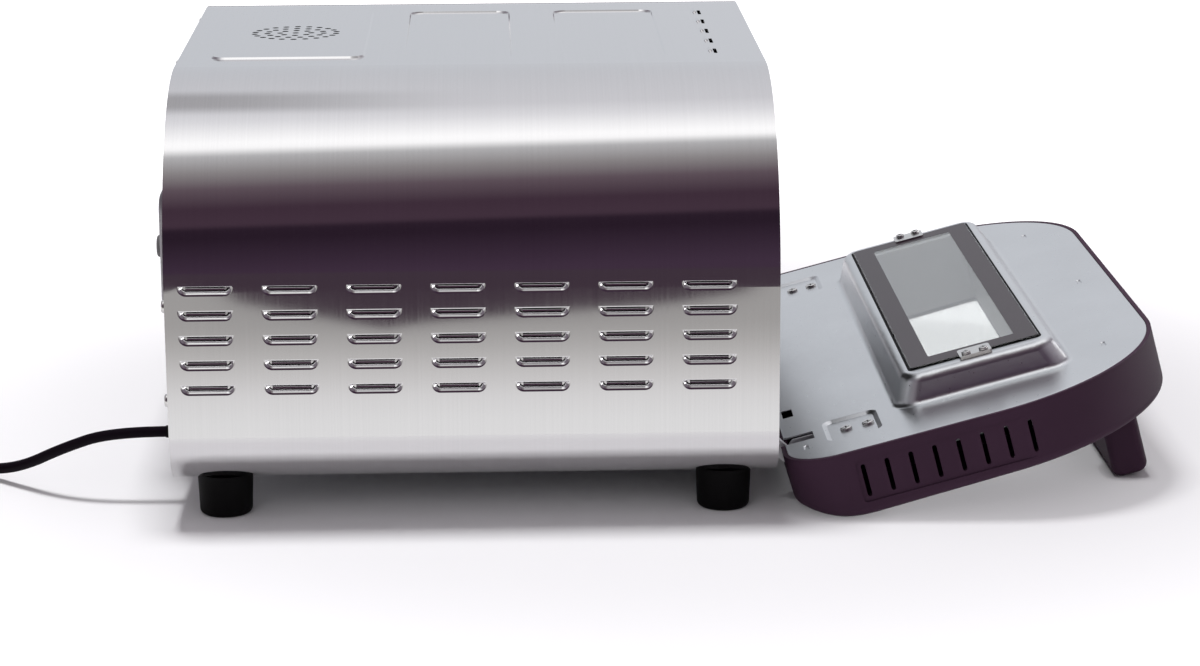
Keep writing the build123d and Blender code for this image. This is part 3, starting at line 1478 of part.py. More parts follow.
def coil_point(turn):
    """Centre line of the coil: spirals in on the floor, climbs a layer, spirals out on top."""
    centre, angle, outer = coil_place()
    middle = coil_turns / 2
    away = abs(turn - middle)
    climb = 0.25
    eased = away if away >= climb else away ** 2 / (2 * climb) + climb / 2
    radius = outer - coil_pitch * (middle - eased)
    share = min(max((turn - middle + climb) / (2 * climb), 0), 1)
    lift = coil_layer * share * share * (3 - 2 * share)
    heading = angle + turn * math.tau
    return Vector(centre.X + radius * math.cos(heading), centre.Y + radius * math.sin(heading),
                  centre.Z + lift)


def coil_heading(turn):
    step = 1e-4
    if turn < step:
        points = route_points()
        return (points[-1] - points[-2]).normalized()
    return (coil_point(turn + step) - coil_point(turn - step)).normalized()


def biarc(start, heading, end, end_heading):
    """Two tangent arcs between two points with given headings."""
    chord = end - start
    both = heading + end_heading
    spread = 2 * (1 - heading.dot(end_heading))
    along = chord.dot(both)
    reach = (math.sqrt(along ** 2 + spread * chord.dot(chord)) - along) / spread
    join = (start + end + (heading - end_heading) * reach) / 2
    join_heading = (join - (start + heading * reach)).normalized()
    return [TangentArc(start, join, tangent=heading), TangentArc(join, end, tangent=join_heading)]


def coil_end():
    """Point and heading where the cord leaves the coil's top layer."""
    point = coil_point(coil_turns)
    heading = coil_heading(coil_turns)
    heading = Vector(heading.X, heading.Y, 0).normalized()
    return point, heading


def cord_coil():
    quarters = 4 * coil_turns
    edges = []
    for index in range(quarters):
        start, end = index / 4, (index + 1) / 4
        last = coil_end()[1] if index == quarters - 1 else coil_heading(end)
        edges += biarc(coil_point(start), coil_heading(start), coil_point(end), last)
    point, heading = coil_end()
    edges.append(Line(point, point + heading * coil_exit))
    path = Wire(edges)
    start = Plane(origin=coil_point(0), z_dir=coil_heading(0))
    tube = sweep(start * Circle(cord_diameter / 2), path=path)
    samples = [coil_point(index / 96) for index in range(96 * coil_turns + 1)]
    gap = min((a - b).length for i, a in enumerate(samples) for b in samples[i + 40:]) - cord_diameter
    ideal = path.length * math.pi * cord_diameter ** 2 / 4
    print("coil length", round(path.length, 1), "least gap", round(gap, 2), "volume ratio",
          round(tube.volume / ideal, 5))
    return tube


def cord_tie():
    """Strap round the coil's turns, opposite to where the cord joins it."""
    centre, angle, outer = coil_place()
    reach = coil_pitch * coil_turns / 2
    low = outer - reach + coil_pitch / 2 - cord_diameter / 2 - tie_play
    high = outer - coil_pitch / 2 + cord_diameter / 2 + tie_play
    bottom = -cord_diameter / 2 - tie_play
    top = coil_layer + cord_diameter / 2 + tie_play
    grow = tie_thickness
    ring = box(low - grow, high + grow, -tie_width / 2, tie_width / 2, bottom - grow, top + grow)
    ring = fillet(ring.edges().filter_by(Axis.Y), 2)
    ring -= box(low, high, -tie_width, tie_width, bottom, top)
    return Pos(centre.X, centre.Y, centre.Z) * Rot(0, 0, math.degrees(angle) + 180) * ring


def plug_plane():
    point, heading = coil_end()
    return Plane(origin=point + heading * coil_exit, x_dir=(-heading.Y, heading.X, 0), z_dir=heading)


def plug_body():
    length, width, height = plug_size
    sleeve = loft([Circle(cord_diameter / 2 + 0.6), Pos(0, 0, plug_sleeve) * Circle(cord_diameter / 2 + 2)])
    body = Pos(0, 0, plug_sleeve) * extrude(rounded(width, height, 6), length)
    body = fillet(body.edges().group_by(Axis.Z)[0], 3)
    return plug_plane() * (sleeve + body)


def plug_pins():
    length, width, height = plug_size
    deep, thick, broad = blade_size
    face = plug_sleeve + length
    solids = []
    for side in (-0.5, 0.5):
        solids.append(Pos(side * blade_spacing, 2.5, face + deep / 2) * Box(thick, broad, deep))
    solids.append(Pos(0, -5.5, face) * extrude(Circle(earth_pin_radius), earth_pin_length))
    return [plug_plane() * solid for solid in solids]


# Assembly

def hang(solid):
    """Put a piece of the door on its hinge, swung open until the handle is on the floor."""
    upright_door = Plane(origin=(0, -door_gap, door_low), x_dir=(1, 0, 0), z_dir=(0, -1, 0))
    swing = Pos(0, -hinge_forward, hinge_height) * Rot(90 - door_tilt, 0, 0) * Pos(0, hinge_forward,
                                                                                   -hinge_height)
    return swing * (upright_door * solid)


both_sides = (-1, 1)
cord_pieces = {
    "mains_cord": mains_cord(),
    "cord_coil": cord_coil(),
    "cord_tie": cord_tie(),
    "plug_body": plug_body(),
    "plug_pins": group(plug_pins()),
    "cord_gland": cord_gland(),
}
pieces = {
    "casing_wrap": casing_wrap(),
    "base_plate": base_plate(),
    "feet": group(foot(x, y) for x, y in foot_places),
    "foot_screws": group(foot_screw(x, y) for x, y in foot_places),
    "rear_panel": rear_panel(),
    "rear_cover": rear_cover(),
    "rear_bumpers": group(rear_bumper(side) for side in both_sides),
    "casing_screws": casing_screws(),
    "front_frame": front_frame(),
    "oven_chamber": oven_chamber(),
    "door_gasket": door_gasket(),
    "door_magnets": group(door_magnet(side) for side in both_sides),
    "heater_element": heater_element(),
    "heater_bushes": group(heater_bush(side) for side in both_sides),
    "temperature_probe": temperature_probe(),
    "fan_blade": fan_blade(),
    "fan_guard": fan_guard(),
    "fan_motor": fan_motor(),
    "drive_bearing": drive_bearing(),
    "drive_shaft": drive_shaft(),
    "drive_pulley": drive_pulley(),
    "motor_pulley": motor_pulley(),
    "drive_belt": drive_belt(),
    "drive_motor": drive_motor(),
    "motor_bracket": motor_bracket(),
    "bread_pan": bread_pan(),
    "pan_shaft": pan_shaft(),
    "kneading_paddle": kneading_paddle(),
    "pan_handle": pan_handle(),
    "pan_clips": group(pan_clip(side) for side in both_sides),
    "power_board": power_board(),
    "transformer": transformer(),
    "hinge_brackets": group(hinge_bracket(side) for side in both_sides),
    "hinge_pins": group(hinge_pin(side) for side in both_sides),
    "hinge_leaves": group(hang(hinge_leaf(side)) for side in both_sides),
    "door_shell": hang(door_shell()),
    "door_inner_panel": hang(door_inner_panel()),
    "glass_seal": hang(glass_seal()),
    "inner_glass": hang(inner_glass()),
    "glass_clips": group(hang(glass_clip(side)) for side in both_sides),
    "door_screws": group(hang(screw) for screw in door_screws()),
    "window_tunnel": hang(window_tunnel()),
    "outer_glass": hang(outer_glass()),
    "control_fascia": hang(control_fascia()),
    "control_board": hang(control_board()),
    "display": hang(display()),
    "door_handle": hang(door_handle()),
}
for name, x in button_places():
    pieces[f"button_{name}"] = hang(button(x))

# The origin stands under the middle of the object without its cord
corners = [piece.bounding_box() for piece in pieces.values()]
middle_y = (min(b.min.Y for b in corners) + max(b.max.Y for b in corners)) / 2
centred = Pos(0, -middle_y, 0)
print("front edge of the casing at y", round(-middle_y, 3))
print("hinge axis", round(-hinge_forward - middle_y, 3), hinge_height, "swing", round(90 - door_tilt, 3))
print("fan axis", fan_z, "drive axis y", round(drive_y - middle_y, 3), "bail axis y",
      round(bail_y() - middle_y, 3))

os.makedirs("parts", exist_ok=True)
for name, piece in {**pieces, **cord_pieces}.items():
    export_step(centred * piece, f"parts/{name}.step")
print(len(pieces) + len(cord_pieces), "nodes")
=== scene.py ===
import math

import bmesh
import bpy
from mathutils import Matrix, Vector


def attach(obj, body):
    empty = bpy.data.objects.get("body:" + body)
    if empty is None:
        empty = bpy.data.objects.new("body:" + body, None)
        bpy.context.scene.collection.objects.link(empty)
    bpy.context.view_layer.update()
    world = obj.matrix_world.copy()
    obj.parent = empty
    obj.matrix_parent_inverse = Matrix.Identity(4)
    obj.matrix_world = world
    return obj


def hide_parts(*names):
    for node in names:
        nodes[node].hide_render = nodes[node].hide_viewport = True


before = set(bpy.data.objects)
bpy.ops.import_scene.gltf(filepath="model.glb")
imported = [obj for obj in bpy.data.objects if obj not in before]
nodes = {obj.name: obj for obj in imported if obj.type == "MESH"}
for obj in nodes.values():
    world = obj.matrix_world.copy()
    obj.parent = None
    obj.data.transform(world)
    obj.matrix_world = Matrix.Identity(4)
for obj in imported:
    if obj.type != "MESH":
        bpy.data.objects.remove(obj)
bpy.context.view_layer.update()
buttons = ["button_" + name for name in ("menu", "crust", "loaf", "minus", "plus", "start")]
scene = bpy.context.scene
print("frame loaded:", len(nodes), "nodes")


def mm(*values):
    scaled = [value / 1000 for value in values]
    return scaled[0] if len(scaled) == 1 else Vector(scaled)


def hexColour(text):
    parts = [int(text[i:i + 2], 16) / 255 for i in (1, 3, 5)]
    linear = [c / 12.92 if c <= 0.04045 else ((c + 0.055) / 1.055) ** 2.4 for c in parts]
    return (*linear, 1.0)


# inputs go by name or number: a colour mix has its share at 0 and its colours at 6 and 7
def addNode(tree, kind, inputs=None, **settings):
    node = tree.nodes.new(kind)
    for name, value in settings.items():
        setattr(node, name, value)
    for name, value in (inputs or {}).items():
        if isinstance(value, bpy.types.NodeSocket):
            tree.links.new(value, node.inputs[name])
        else:
            node.inputs[name].default_value = value
    return node


def startMaterial(name):
    material = bpy.data.materials.new(name)
    material.use_nodes = True
    tree = material.node_tree
    shader = tree.nodes["Principled BSDF"]
    place = addNode(tree, "ShaderNodeTexCoord").outputs["Object"]
    return material, tree, shader, place


def paint(material, *names):
    for name in names:
        data = nodes[name].data
        data.materials.clear()
        data.materials.append(material)


# sizes in mm, as in the part's source; y counts from the casing's front edge
casing = {"frontEdge": -58.385}

# the open door: hinge line, swing, its own upright frame and its sloping outer face
doorSet = {
    "hingeY": -11.5,
    "hingeZ": 21.9,
    "swing": 75.12,
    "gap": 2.0,
    "low": 20.0,
    "deepS": 24.0,
    "deepDepth": 38.2,
    "topS": 219.5,
    "topDepth": 34.5,
    "windowS": 116.5,
}


def onDoor(x, s, d):
    # x across, s up the panel, d outwards from it, turned open about the hinge
    y = -doorSet["gap"] - d - doorSet["hingeY"]
    z = doorSet["low"] + s - doorSet["hingeZ"]
    turn = math.radians(doorSet["swing"])
    openY = y * math.cos(turn) - z * math.sin(turn) + doorSet["hingeY"]
    openZ = y * math.sin(turn) + z * math.cos(turn) + doorSet["hingeZ"]
    return mm(x, openY + casing["frontEdge"], openZ)


# camera, from the photograph's edges
cameraSet = {
    "place": (-1961.27, 95.8, 541.09),
    "yaw": 0.03275,
    "pitch": 0.24351,
    "roll": -0.00462,
    "focalPixels": 3345.6,
    "imageWidth": 1200,
    "sensorWidth": 36,
    "clipEnd": 50,
}


def setCamera():
    yaw, pitch, roll = cameraSet["yaw"], cameraSet["pitch"], cameraSet["roll"]
    forward = Vector((math.cos(yaw) * math.cos(pitch), -math.sin(yaw) * math.cos(pitch), -math.sin(pitch)))
    level = Vector((-math.sin(yaw), -math.cos(yaw), 0))
    upward = level.cross(forward)
    right = math.cos(roll) * level + math.sin(roll) * upward
    upward = math.cos(roll) * upward - math.sin(roll) * level
    data = bpy.data.cameras.new("photoCamera")
    data.sensor_width = cameraSet["sensorWidth"]
    data.lens = cameraSet["focalPixels"] / cameraSet["imageWidth"] * data.sensor_width
    data.clip_end = cameraSet["clipEnd"]
    camera = bpy.data.objects.new("photoCamera", data)
    scene.collection.objects.link(camera)
    turned = Matrix((right, upward, -forward)).transposed().to_4x4()
    camera.matrix_world = Matrix.Translation(mm(*cameraSet["place"])) @ turned
    scene.camera = camera


setCamera()
print("camera set")

# mains lead: route on the floor, then the coil that is put away
leadSet = {
    "diameter": 6.1,
    "route": [(-160.0, 337.0, 40.0), (-160.0, 368.0, 40.0), (-150.5, 396.0, 28.5), (-129.5, 422.0, 12.0),
              (-107.5, 446.0, 4.15), (-91.0, 468.0, 4.15)],
    "coilTurns": 4,
    "coilMidRadius": 33.5,
    "coilPitch": 7.0,
    "coilLayer": 6.8,
    "coilLeave": 4.0,
    "coilExit": 24.0,
    "easeTurn": 0.25,
    "pointsPerTurn": 16,
    "roundSteps": 6,
    "runSteps": 10,
    "length": 1028.0,
}


def leadPoints():
    route = [Vector(p) for p in leadSet["route"]]
    run = (route[-1] - route[-2]).normalized()
    outer = leadSet["coilMidRadius"] + leadSet["coilPitch"] * leadSet["coilTurns"] / 4
    centre = route[-1] + Vector((-run.y, run.x, 0)) * outer
    startTurn = math.atan2(route[-1].y - centre.y, route[-1].x - centre.x)
    middle = leadSet["coilTurns"] / 2
    perTurn = leadSet["pointsPerTurn"]
    ease = leadSet["easeTurn"]
    spread = 1 / (0.75 + 0.25 * math.cos(math.tau / perTurn))  # a spline runs inside its points
    points = route[:-1]
    last = perTurn * leadSet["coilTurns"]
    for step in range(1, last):
        turn = step / perTurn
        away = abs(turn - middle)
        eased = away if away >= ease else away ** 2 / (2 * ease) + ease / 2
        radius = outer - leadSet["coilPitch"] * (middle - eased)
        share = min(max((turn - middle + ease) / (2 * ease), 0), 1)
        lift = leadSet["coilLayer"] * share * share * (3 - 2 * share)
        heading = startTurn + turn * math.tau
        out = radius * spread
        points.append(centre + Vector((math.cos(heading) * out, math.sin(heading) * out, lift)))
    end = route[-1] + Vector((0, 0, leadSet["coilLayer"]))
    points += [end + run * leadSet["coilLeave"], end + run * leadSet["coilExit"]]
    return [p + Vector((0, casing["frontEdge"], 0)) for p in points]


def makeLead():
    curve = bpy.data.curves.new("mainsLead", "CURVE")
    curve.dimensions = "3D"
    curve.bevel_depth = 1.0  # each point's own radius makes the lead's thickness
    curve.bevel_resolution = leadSet["roundSteps"]
    curve.resolution_u = leadSet["runSteps"]
    curve.use_fill_caps = True
    spline = curve.splines.new("NURBS")
    places = leadPoints()
    spline.points.add(len(places) - 1)
    for point, place in zip(spline.points, places):
        point.co = (*mm(*place), 1)
        point.radius = mm(leadSet["diameter"] / 2)
    spline.order_u = 3
    spline.use_endpoint_u = True
    lead = bpy.data.objects.new("mainsLead", curve)
    scene.collection.objects.link(lead)
    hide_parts("mains_cord", "cord_coil")
    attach(lead, "casing")
    return lead


lead = makeLead()
print("lead laid")


def fillRamp(ramp, stops):
    while len(ramp.elements) < len(stops):
        ramp.elements.new(0.5)
    for element, (where, colour) in zip(ramp.elements, stops):
        element.position = where
        element.color = hexColour(colour)


# table of white paper, in metres: it glows far from the machine, and for mirror rays only it glows in a
# painted reflection, so the steel mirrors a darker front
floorSet = {
    "size": 12.0,
    "colour": "#f0f0f2",
    "glow": 0.6,
    "glowFrom": 0.3,
    "glowTo": 0.8,
    "horizonAt": 2.5,
    "horizonGlow": 0.4,
    "glassGlow": 1.0,
    "fadeFrom": -0.30,
    "fadeTo": -0.68,
    "fadeLevel": 1.1,
    "fadeStart": 0.2,
    "fadeStops": [(0.0, "#fdfdfd"), (0.35, "#fafafa"), (0.5, "#f2f1f1"), (0.67, "#dedcdb"),
                  (0.85, "#c4c2c0"), (1.0, "#b4b2b0")],
}


def makeFloor():
    bpy.ops.mesh.primitive_plane_add(size=floorSet["size"], location=(0, 0, 0))
    floor = bpy.context.object
    floor.name = "floor"
    material = bpy.data.materials.new("paperFloor")
    material.use_nodes = True
    tree = material.node_tree
    tree.nodes.clear()
    place = addNode(tree, "ShaderNodeTexCoord").outputs["Object"]
    path = addNode(tree, "ShaderNodeLightPath")
    paper = addNode(tree, "ShaderNodeBsdfDiffuse", {"Color": hexColour(floorSet["colour"])})
    # white paper far from the machine, so that its shadow stays on the table
    away = addNode(tree, "ShaderNodeVectorMath", {0: place}, operation="LENGTH")
    far = addNode(tree, "ShaderNodeMapRange", {"Value": away.outputs["Value"],
                                               "From Min": floorSet["glowFrom"],
                                               "From Max": floorSet["glowTo"],
                                               "To Max": floorSet["glow"]},
                  interpolation_type="SMOOTHSTEP")
    # and whiter still towards the horizon, so that no edge shows against the backdrop
    horizon = addNode(tree, "ShaderNodeMapRange", {"Value": away.outputs["Value"],
                                                   "From Min": floorSet["glowTo"],
                                                   "From Max": floorSet["horizonAt"],
                                                   "To Max": floorSet["horizonGlow"]})
    paleness = addNode(tree, "ShaderNodeMath", {0: far.outputs[0], 1: horizon.outputs[0]}, operation="ADD")
    glow = addNode(tree, "ShaderNodeMath", {0: path.outputs["Is Camera Ray"], 1: paleness.outputs[0]},
                   operation="MULTIPLY")
    behindGlass = addNode(tree, "ShaderNodeMath", {0: path.outputs["Is Transmission Ray"],
                                                   1: floorSet["glassGlow"], 2: glow.outputs[0]},
                          operation="MULTIPLY_ADD")
    lit = addNode(tree, "ShaderNodeEmission", {"Strength": behindGlass.outputs[0]})
    seen = addNode(tree, "ShaderNodeAddShader", {0: paper.outputs[0], 1: lit.outputs[0]})
    # painted reflection: for mirror rays only, the table glows in tones that darken towards its front edge,
    # and the steel mirrors that glow
    axes = addNode(tree, "ShaderNodeSeparateXYZ", {0: place})
    front = addNode(tree, "ShaderNodeMapRange", {"Value": axes.outputs[0], "From Min": floorSet["fadeFrom"],
                                                 "From Max": floorSet["fadeTo"]})
    tone = addNode(tree, "ShaderNodeValToRGB", {0: front.outputs[0]})
    fillRamp(tone.color_ramp, floorSet["fadeStops"])
    paintedReflection = addNode(tree, "ShaderNodeEmission", {"Color": tone.outputs[0],
                                                 "Strength": floorSet["fadeLevel"]})
    start = addNode(tree, "ShaderNodeMapRange", {"Value": front.outputs[0],
                                                 "From Max": floorSet["fadeStart"]})
    share = addNode(tree, "ShaderNodeMath", {0: path.outputs["Is Glossy Ray"], 1: start.outputs[0]},
                    operation="MULTIPLY")
    both = addNode(tree, "ShaderNodeMixShader", {0: share.outputs[0], 1: seen.outputs[0],
                                                 2: paintedReflection.outputs[0]})
    addNode(tree, "ShaderNodeOutputMaterial", {"Surface": both.outputs[0]})
    floor.data.materials.append(material)
    return floor


# painted reflection of a dark room in front of the table: a sheet that glows dark for mirror rays only; its
# edge in mm, as y and x
roomReflectionSet = {
    "colour": "#4b3d49",
    "height": 1.0,
    "edge": [(1900, -7000), (430, -1250), (275, -750), (170, -665), (140, -685), (-30, -730),
             (-80, -760), (-120, -860), (-1600, -7000)],
}


def makeRoomReflection():
    # only mirrored, never seen: a painted reflection
    form = bmesh.new()
    form.faces.new([form.verts.new(mm(x, y, roomReflectionSet["height"])) for y, x in roomReflectionSet["edge"]])
    mesh = bpy.data.meshes.new("darkRoomReflection")
    form.to_mesh(mesh)
    form.free()
    room = bpy.data.objects.new("darkRoomReflection", mesh)
    scene.collection.objects.link(room)
    material = bpy.data.materials.new("darkRoomReflection")
    material.use_nodes = True
    tree = material.node_tree
    tree.nodes.clear()
    dark = addNode(tree, "ShaderNodeEmission", {"Color": hexColour(roomReflectionSet["colour"])})
    addNode(tree, "ShaderNodeOutputMaterial", {"Surface": dark.outputs[0]})
    mesh.materials.append(material)
    room.visible_camera = False
    room.visible_diffuse = False
    room.visible_shadow = False
    room.visible_transmission = False


# studio: the stops are what the steel mirrors, from the table's edge (0) up and over to the far side (1)
worldSet = {
    "stops": [(0.0, "#3c2d3d"), (0.13, "#251925"), (0.16, "#261a26"), (0.175, "#40303c"), (0.23, "#3b2b37"),
              (0.3, "#5a4d55"), (0.36, "#858182"), (0.42, "#acacad"), (0.45, "#f7f7f7"), (0.47, "#fbfbfb"),
              (0.56, "#d6d6d9"), (0.62, "#c5c5c9"), (1.0, "#adb0b5")],
    "strength": 1.55,
    "lean": 0.25,
    "cornerColour": "#8c8b8d",
    "cornerLevel": 0.645,
    "cornerInner": 0.02,
    "cornerOuter": 0.075,
    "cornerSide": 0.09,
    "cornerShare": 0.75,
    "endColour": "#6b646c",
    "endFrom": 0.3,
    "endTo": 0.75,
    "skyColour": "#fff7fd",
    "skyLevel": 0.34,
}


def makeWorld():
    world = bpy.data.worlds.new("studio")
    scene.world = world
    world.use_nodes = True
    tree = world.node_tree
    tree.nodes.clear()
    path = addNode(tree, "ShaderNodeLightPath")
    around = addNode(tree, "ShaderNodeTexCoord").outputs["Generated"]
    way = addNode(tree, "ShaderNodeSeparateXYZ", {0: around})
    facing = addNode(tree, "ShaderNodeMath", {0: way.outputs[0], 1: -1.0}, operation="MULTIPLY")
    rise = addNode(tree, "ShaderNodeMath", {0: way.outputs[2], 1: facing.outputs[0]}, operation="ARCTAN2")
    level = addNode(tree, "ShaderNodeMath", {0: rise.outputs[0], 1: math.pi}, operation="DIVIDE")
    # the bright ceiling leans a little to one side
    share = addNode(tree, "ShaderNodeMath", {0: way.outputs[1], 1: worldSet["lean"],
                                             2: level.outputs[0]}, operation="MULTIPLY_ADD")
    room = addNode(tree, "ShaderNodeValToRGB", {0: share.outputs[0]})
    fillRamp(room.color_ramp, worldSet["stops"])
    # a dim corner above the rear of the machine
    apart = addNode(tree, "ShaderNodeMath", {0: level.outputs[0], 1: worldSet["cornerLevel"]},
                    operation="SUBTRACT")
    apart = addNode(tree, "ShaderNodeMath", {0: apart.outputs[0]}, operation="ABSOLUTE")
    height = addNode(tree, "ShaderNodeMapRange", {"Value": apart.outputs[0],
                                                  "From Min": worldSet["cornerInner"],
                                                  "From Max": worldSet["cornerOuter"],
                                                  "To Min": 1.0, "To Max": 0.0},
                     interpolation_type="SMOOTHSTEP")
    near = addNode(tree, "ShaderNodeMapRange", {"Value": way.outputs[1], "From Max": worldSet["cornerSide"],
                                                "To Max": worldSet["cornerShare"]},
                   interpolation_type="SMOOTHSTEP")
    corner = addNode(tree, "ShaderNodeMath", {0: height.outputs[0], 1: near.outputs[0]},
                     operation="MULTIPLY")
    dimmed = addNode(tree, "ShaderNodeMix", {0: corner.outputs[0], 6: room.outputs[0],
                                             7: hexColour(worldSet["cornerColour"])}, data_type="RGBA")
    # both ends of the room are dark too
    aside = addNode(tree, "ShaderNodeMath", {0: way.outputs[1]}, operation="ABSOLUTE")
    ends = addNode(tree, "ShaderNodeMapRange", {"Value": aside.outputs[0], "From Min": worldSet["endFrom"],
                                                "From Max": worldSet["endTo"]},
                   interpolation_type="SMOOTHSTEP")
    whole = addNode(tree, "ShaderNodeMix", {0: ends.outputs[0], 6: dimmed.outputs[2],
                                            7: hexColour(worldSet["endColour"])}, data_type="RGBA")
    mirrored = addNode(tree, "ShaderNodeBackground", {"Color": whole.outputs[2],
                                                      "Strength": worldSet["strength"]})
    sky = addNode(tree, "ShaderNodeBackground", {"Color": hexColour(worldSet["skyColour"]),
                                                 "Strength": worldSet["skyLevel"]})
    white = addNode(tree, "ShaderNodeBackground", {"Color": (1, 1, 1, 1)})
    first = addNode(tree, "ShaderNodeMixShader", {0: path.outputs["Is Glossy Ray"], 1: sky.outputs[0],
                                                  2: mirrored.outputs[0]})
    seen = addNode(tree, "ShaderNodeMixShader", {0: path.outputs["Is Camera Ray"], 1: first.outputs[0],
                                                 2: white.outputs[0]})
    addNode(tree, "ShaderNodeOutputWorld", {"Surface": seen.outputs[0]})


# lamps, in metres and watts; part of the light on the table is not stopped by the pieces round the window
lampSet = {
    "top": {"place": (0.04, 0.3, 2.5), "aim": (0.0, 0.0, 0.0), "size": (0.5, 0.7), "power": 47.0},
    "front": {"place": (-1.9, 0.5, 1.0), "aim": (0.0, -0.1, 0.05), "size": (1.4, 0.9), "power": 4.0},
    "mouth": {"place": (0.3, -1.7, 0.3), "aim": (0.0, 0.0, 0.12), "size": (1.8, 0.45), "power": 13.0},
    "windowShare": 0.5,
    "windowPieces": ["door_shell", "door_inner_panel", "window_tunnel", "inner_glass", "outer_glass",
                     "control_fascia", "control_board", "display", "glass_seal", "glass_clips",
                     "door_screws", "hinge_leaves"],
}


def addSoftLight(name, settings, share=1.0):
    data = bpy.data.lights.new(name, "AREA")
    data.shape = "RECTANGLE"
    data.size, data.size_y = settings["size"]
    data.energy = settings["power"] * share
    lamp = bpy.data.objects.new(name, data)
    scene.collection.objects.link(lamp)
    lamp.location = settings["place"]
    heading = Vector(settings["aim"]) - Vector(settings["place"])
    lamp.rotation_euler = heading.to_track_quat("-Z", "Y").to_euler()
    # the studio world is what the steel mirrors, and no lamp shows by itself
    lamp.visible_glossy = False
    lamp.visible_camera = False
    lamp.visible_transmission = False
    return lamp


def linkLight(lamp, kind, members, state):
    group = bpy.data.collections.new(lamp.name + kind.capitalize())
    for member in members:
        group.objects.link(member)
    for entry in group.collection_objects:
        entry.light_linking.link_state = state
    setattr(lamp.light_linking, kind + "_collection", group)


def addTopLights(floor):
    # one lamp for the machine, and two at the same place that share the table between them
    share = lampSet["windowShare"]
    onMachine = addSoftLight("topBox", lampSet["top"])
    linkLight(onMachine, "receiver", [floor], "EXCLUDE")
    onTable = addSoftLight("tableBox", lampSet["top"], 1 - share)
    linkLight(onTable, "receiver", [floor], "INCLUDE")
    # daylight that comes through the door's window brightens the door's shadow
    throughDoor = addSoftLight("windowBox", lampSet["top"], share)
    linkLight(throughDoor, "receiver", [floor], "INCLUDE")
    doorPieces = [nodes[name] for name in lampSet["windowPieces"] + buttons]
    linkLight(throughDoor, "blocker", doorPieces, "EXCLUDE")


def addMouthLight():
    # lights only what the oven's metal mirrors, so that its inside shows
    lamp = addSoftLight("mouthBox", lampSet["mouth"])
    lamp.visible_glossy = True
    lamp.visible_diffuse = False


floor = makeFloor()
makeRoomReflection()
makeWorld()
addTopLights(floor)
addSoftLight("frontBox", lampSet["front"])
addMouthLight()
scene.view_settings.view_transform = "Standard"
print("stage lit")


# stainless sheet, brushed around the wrap: fine lines smear its mirror images along the casing
steelSet = {
    "colour": "#d6d5d6",
    "lineSpacing": 0.8,
    "lineLength": 240.0,
    "lineDepth": 0.03,
    "lineDetail": 3.0,
    "lineFineness": 0.6,
    "lineBump": 0.05,
    "toneLow": 0.965,
    "roughness": 0.08,
    "roughSpread": 0.15,
    "waviness": 150.0,
    "waveDepth": 0.6,
    "waveDetail": 1.0,
    "waveBump": 0.2,
    "smear": 0.45,
    "smearTurn": 0.25,
}
# the part of a noise's range that its values mostly fill
noiseLow, noiseHigh = 0.3, 0.7


def brushedStainless():
    material, tree, shader, place = startMaterial("brushedStainless")
    across = 1000 / steelSet["lineSpacing"]
    along = 1000 / steelSet["lineLength"]
    dullest = steelSet["roughness"] * (1 + steelSet["roughSpread"])
    brightest = steelSet["roughness"] * (1 - steelSet["roughSpread"])
    # real lines are about 0.1 mm apart: drawn eight times as coarse so that they show
    laid = addNode(tree, "ShaderNodeMapping", {"Vector": place, "Scale": (along, across, along)})
    lines = addNode(tree, "ShaderNodeTexNoise", {"Vector": laid.outputs[0], "Scale": 1.0,
                                                 "Detail": steelSet["lineDetail"],
                                                 "Roughness": steelSet["lineFineness"]})
    tone = addNode(tree, "ShaderNodeMapRange", {"Value": lines.outputs[0], "From Min": noiseLow,
                                                "From Max": noiseHigh, "To Min": steelSet["toneLow"]})
    base = addNode(tree, "ShaderNodeMix", {6: hexColour(steelSet["colour"]), 7: tone.outputs[0], 0: 1.0},
                   data_type="RGBA", blend_type="MULTIPLY")
    rough = addNode(tree, "ShaderNodeMapRange", {"Value": lines.outputs[0], "From Min": noiseLow,
                                                 "From Max": noiseHigh, "To Min": brightest,
                                                 "To Max": dullest})
    sheet = addNode(tree, "ShaderNodeTexNoise", {"Vector": place, "Scale": 1000 / steelSet["waviness"],
                                                 "Detail": steelSet["waveDetail"]})
    swell = addNode(tree, "ShaderNodeBump", {"Height": sheet.outputs[0], "Strength": steelSet["waveBump"],
                                             "Distance": mm(steelSet["waveDepth"])})
    scratch = addNode(tree, "ShaderNodeBump", {"Height": lines.outputs[0], "Strength": steelSet["lineBump"],
                                               "Distance": mm(steelSet["lineDepth"]),
                                               "Normal": swell.outputs[0]})
    girth = addNode(tree, "ShaderNodeTangent", direction_type="RADIAL", axis="Y")
    tree.links.new(base.outputs[2], shader.inputs["Base Color"])
    tree.links.new(rough.outputs[0], shader.inputs["Roughness"])
    tree.links.new(scratch.outputs[0], shader.inputs["Normal"])
    tree.links.new(girth.outputs[0], shader.inputs["Tangent"])
    shader.inputs["Metallic"].default_value = 1.0
    shader.inputs["Anisotropic"].default_value = steelSet["smear"]
    shader.inputs["Anisotropic Rotation"].default_value = steelSet["smearTurn"]
    return material


# aluminised or plated steel, pressed: a flat grey sheet with a faint mill grain
sheetSet = {
    "grainSize": 2.5,
    "grainDepth": 0.1,
    "grainDetail": 3.0,
    "grainBump": 0.05,
    "cloudSize": 60.0,
    "cloudDetail": 2.0,
    "toneLow": 0.94,
    "roughSpread": 0.2,
}


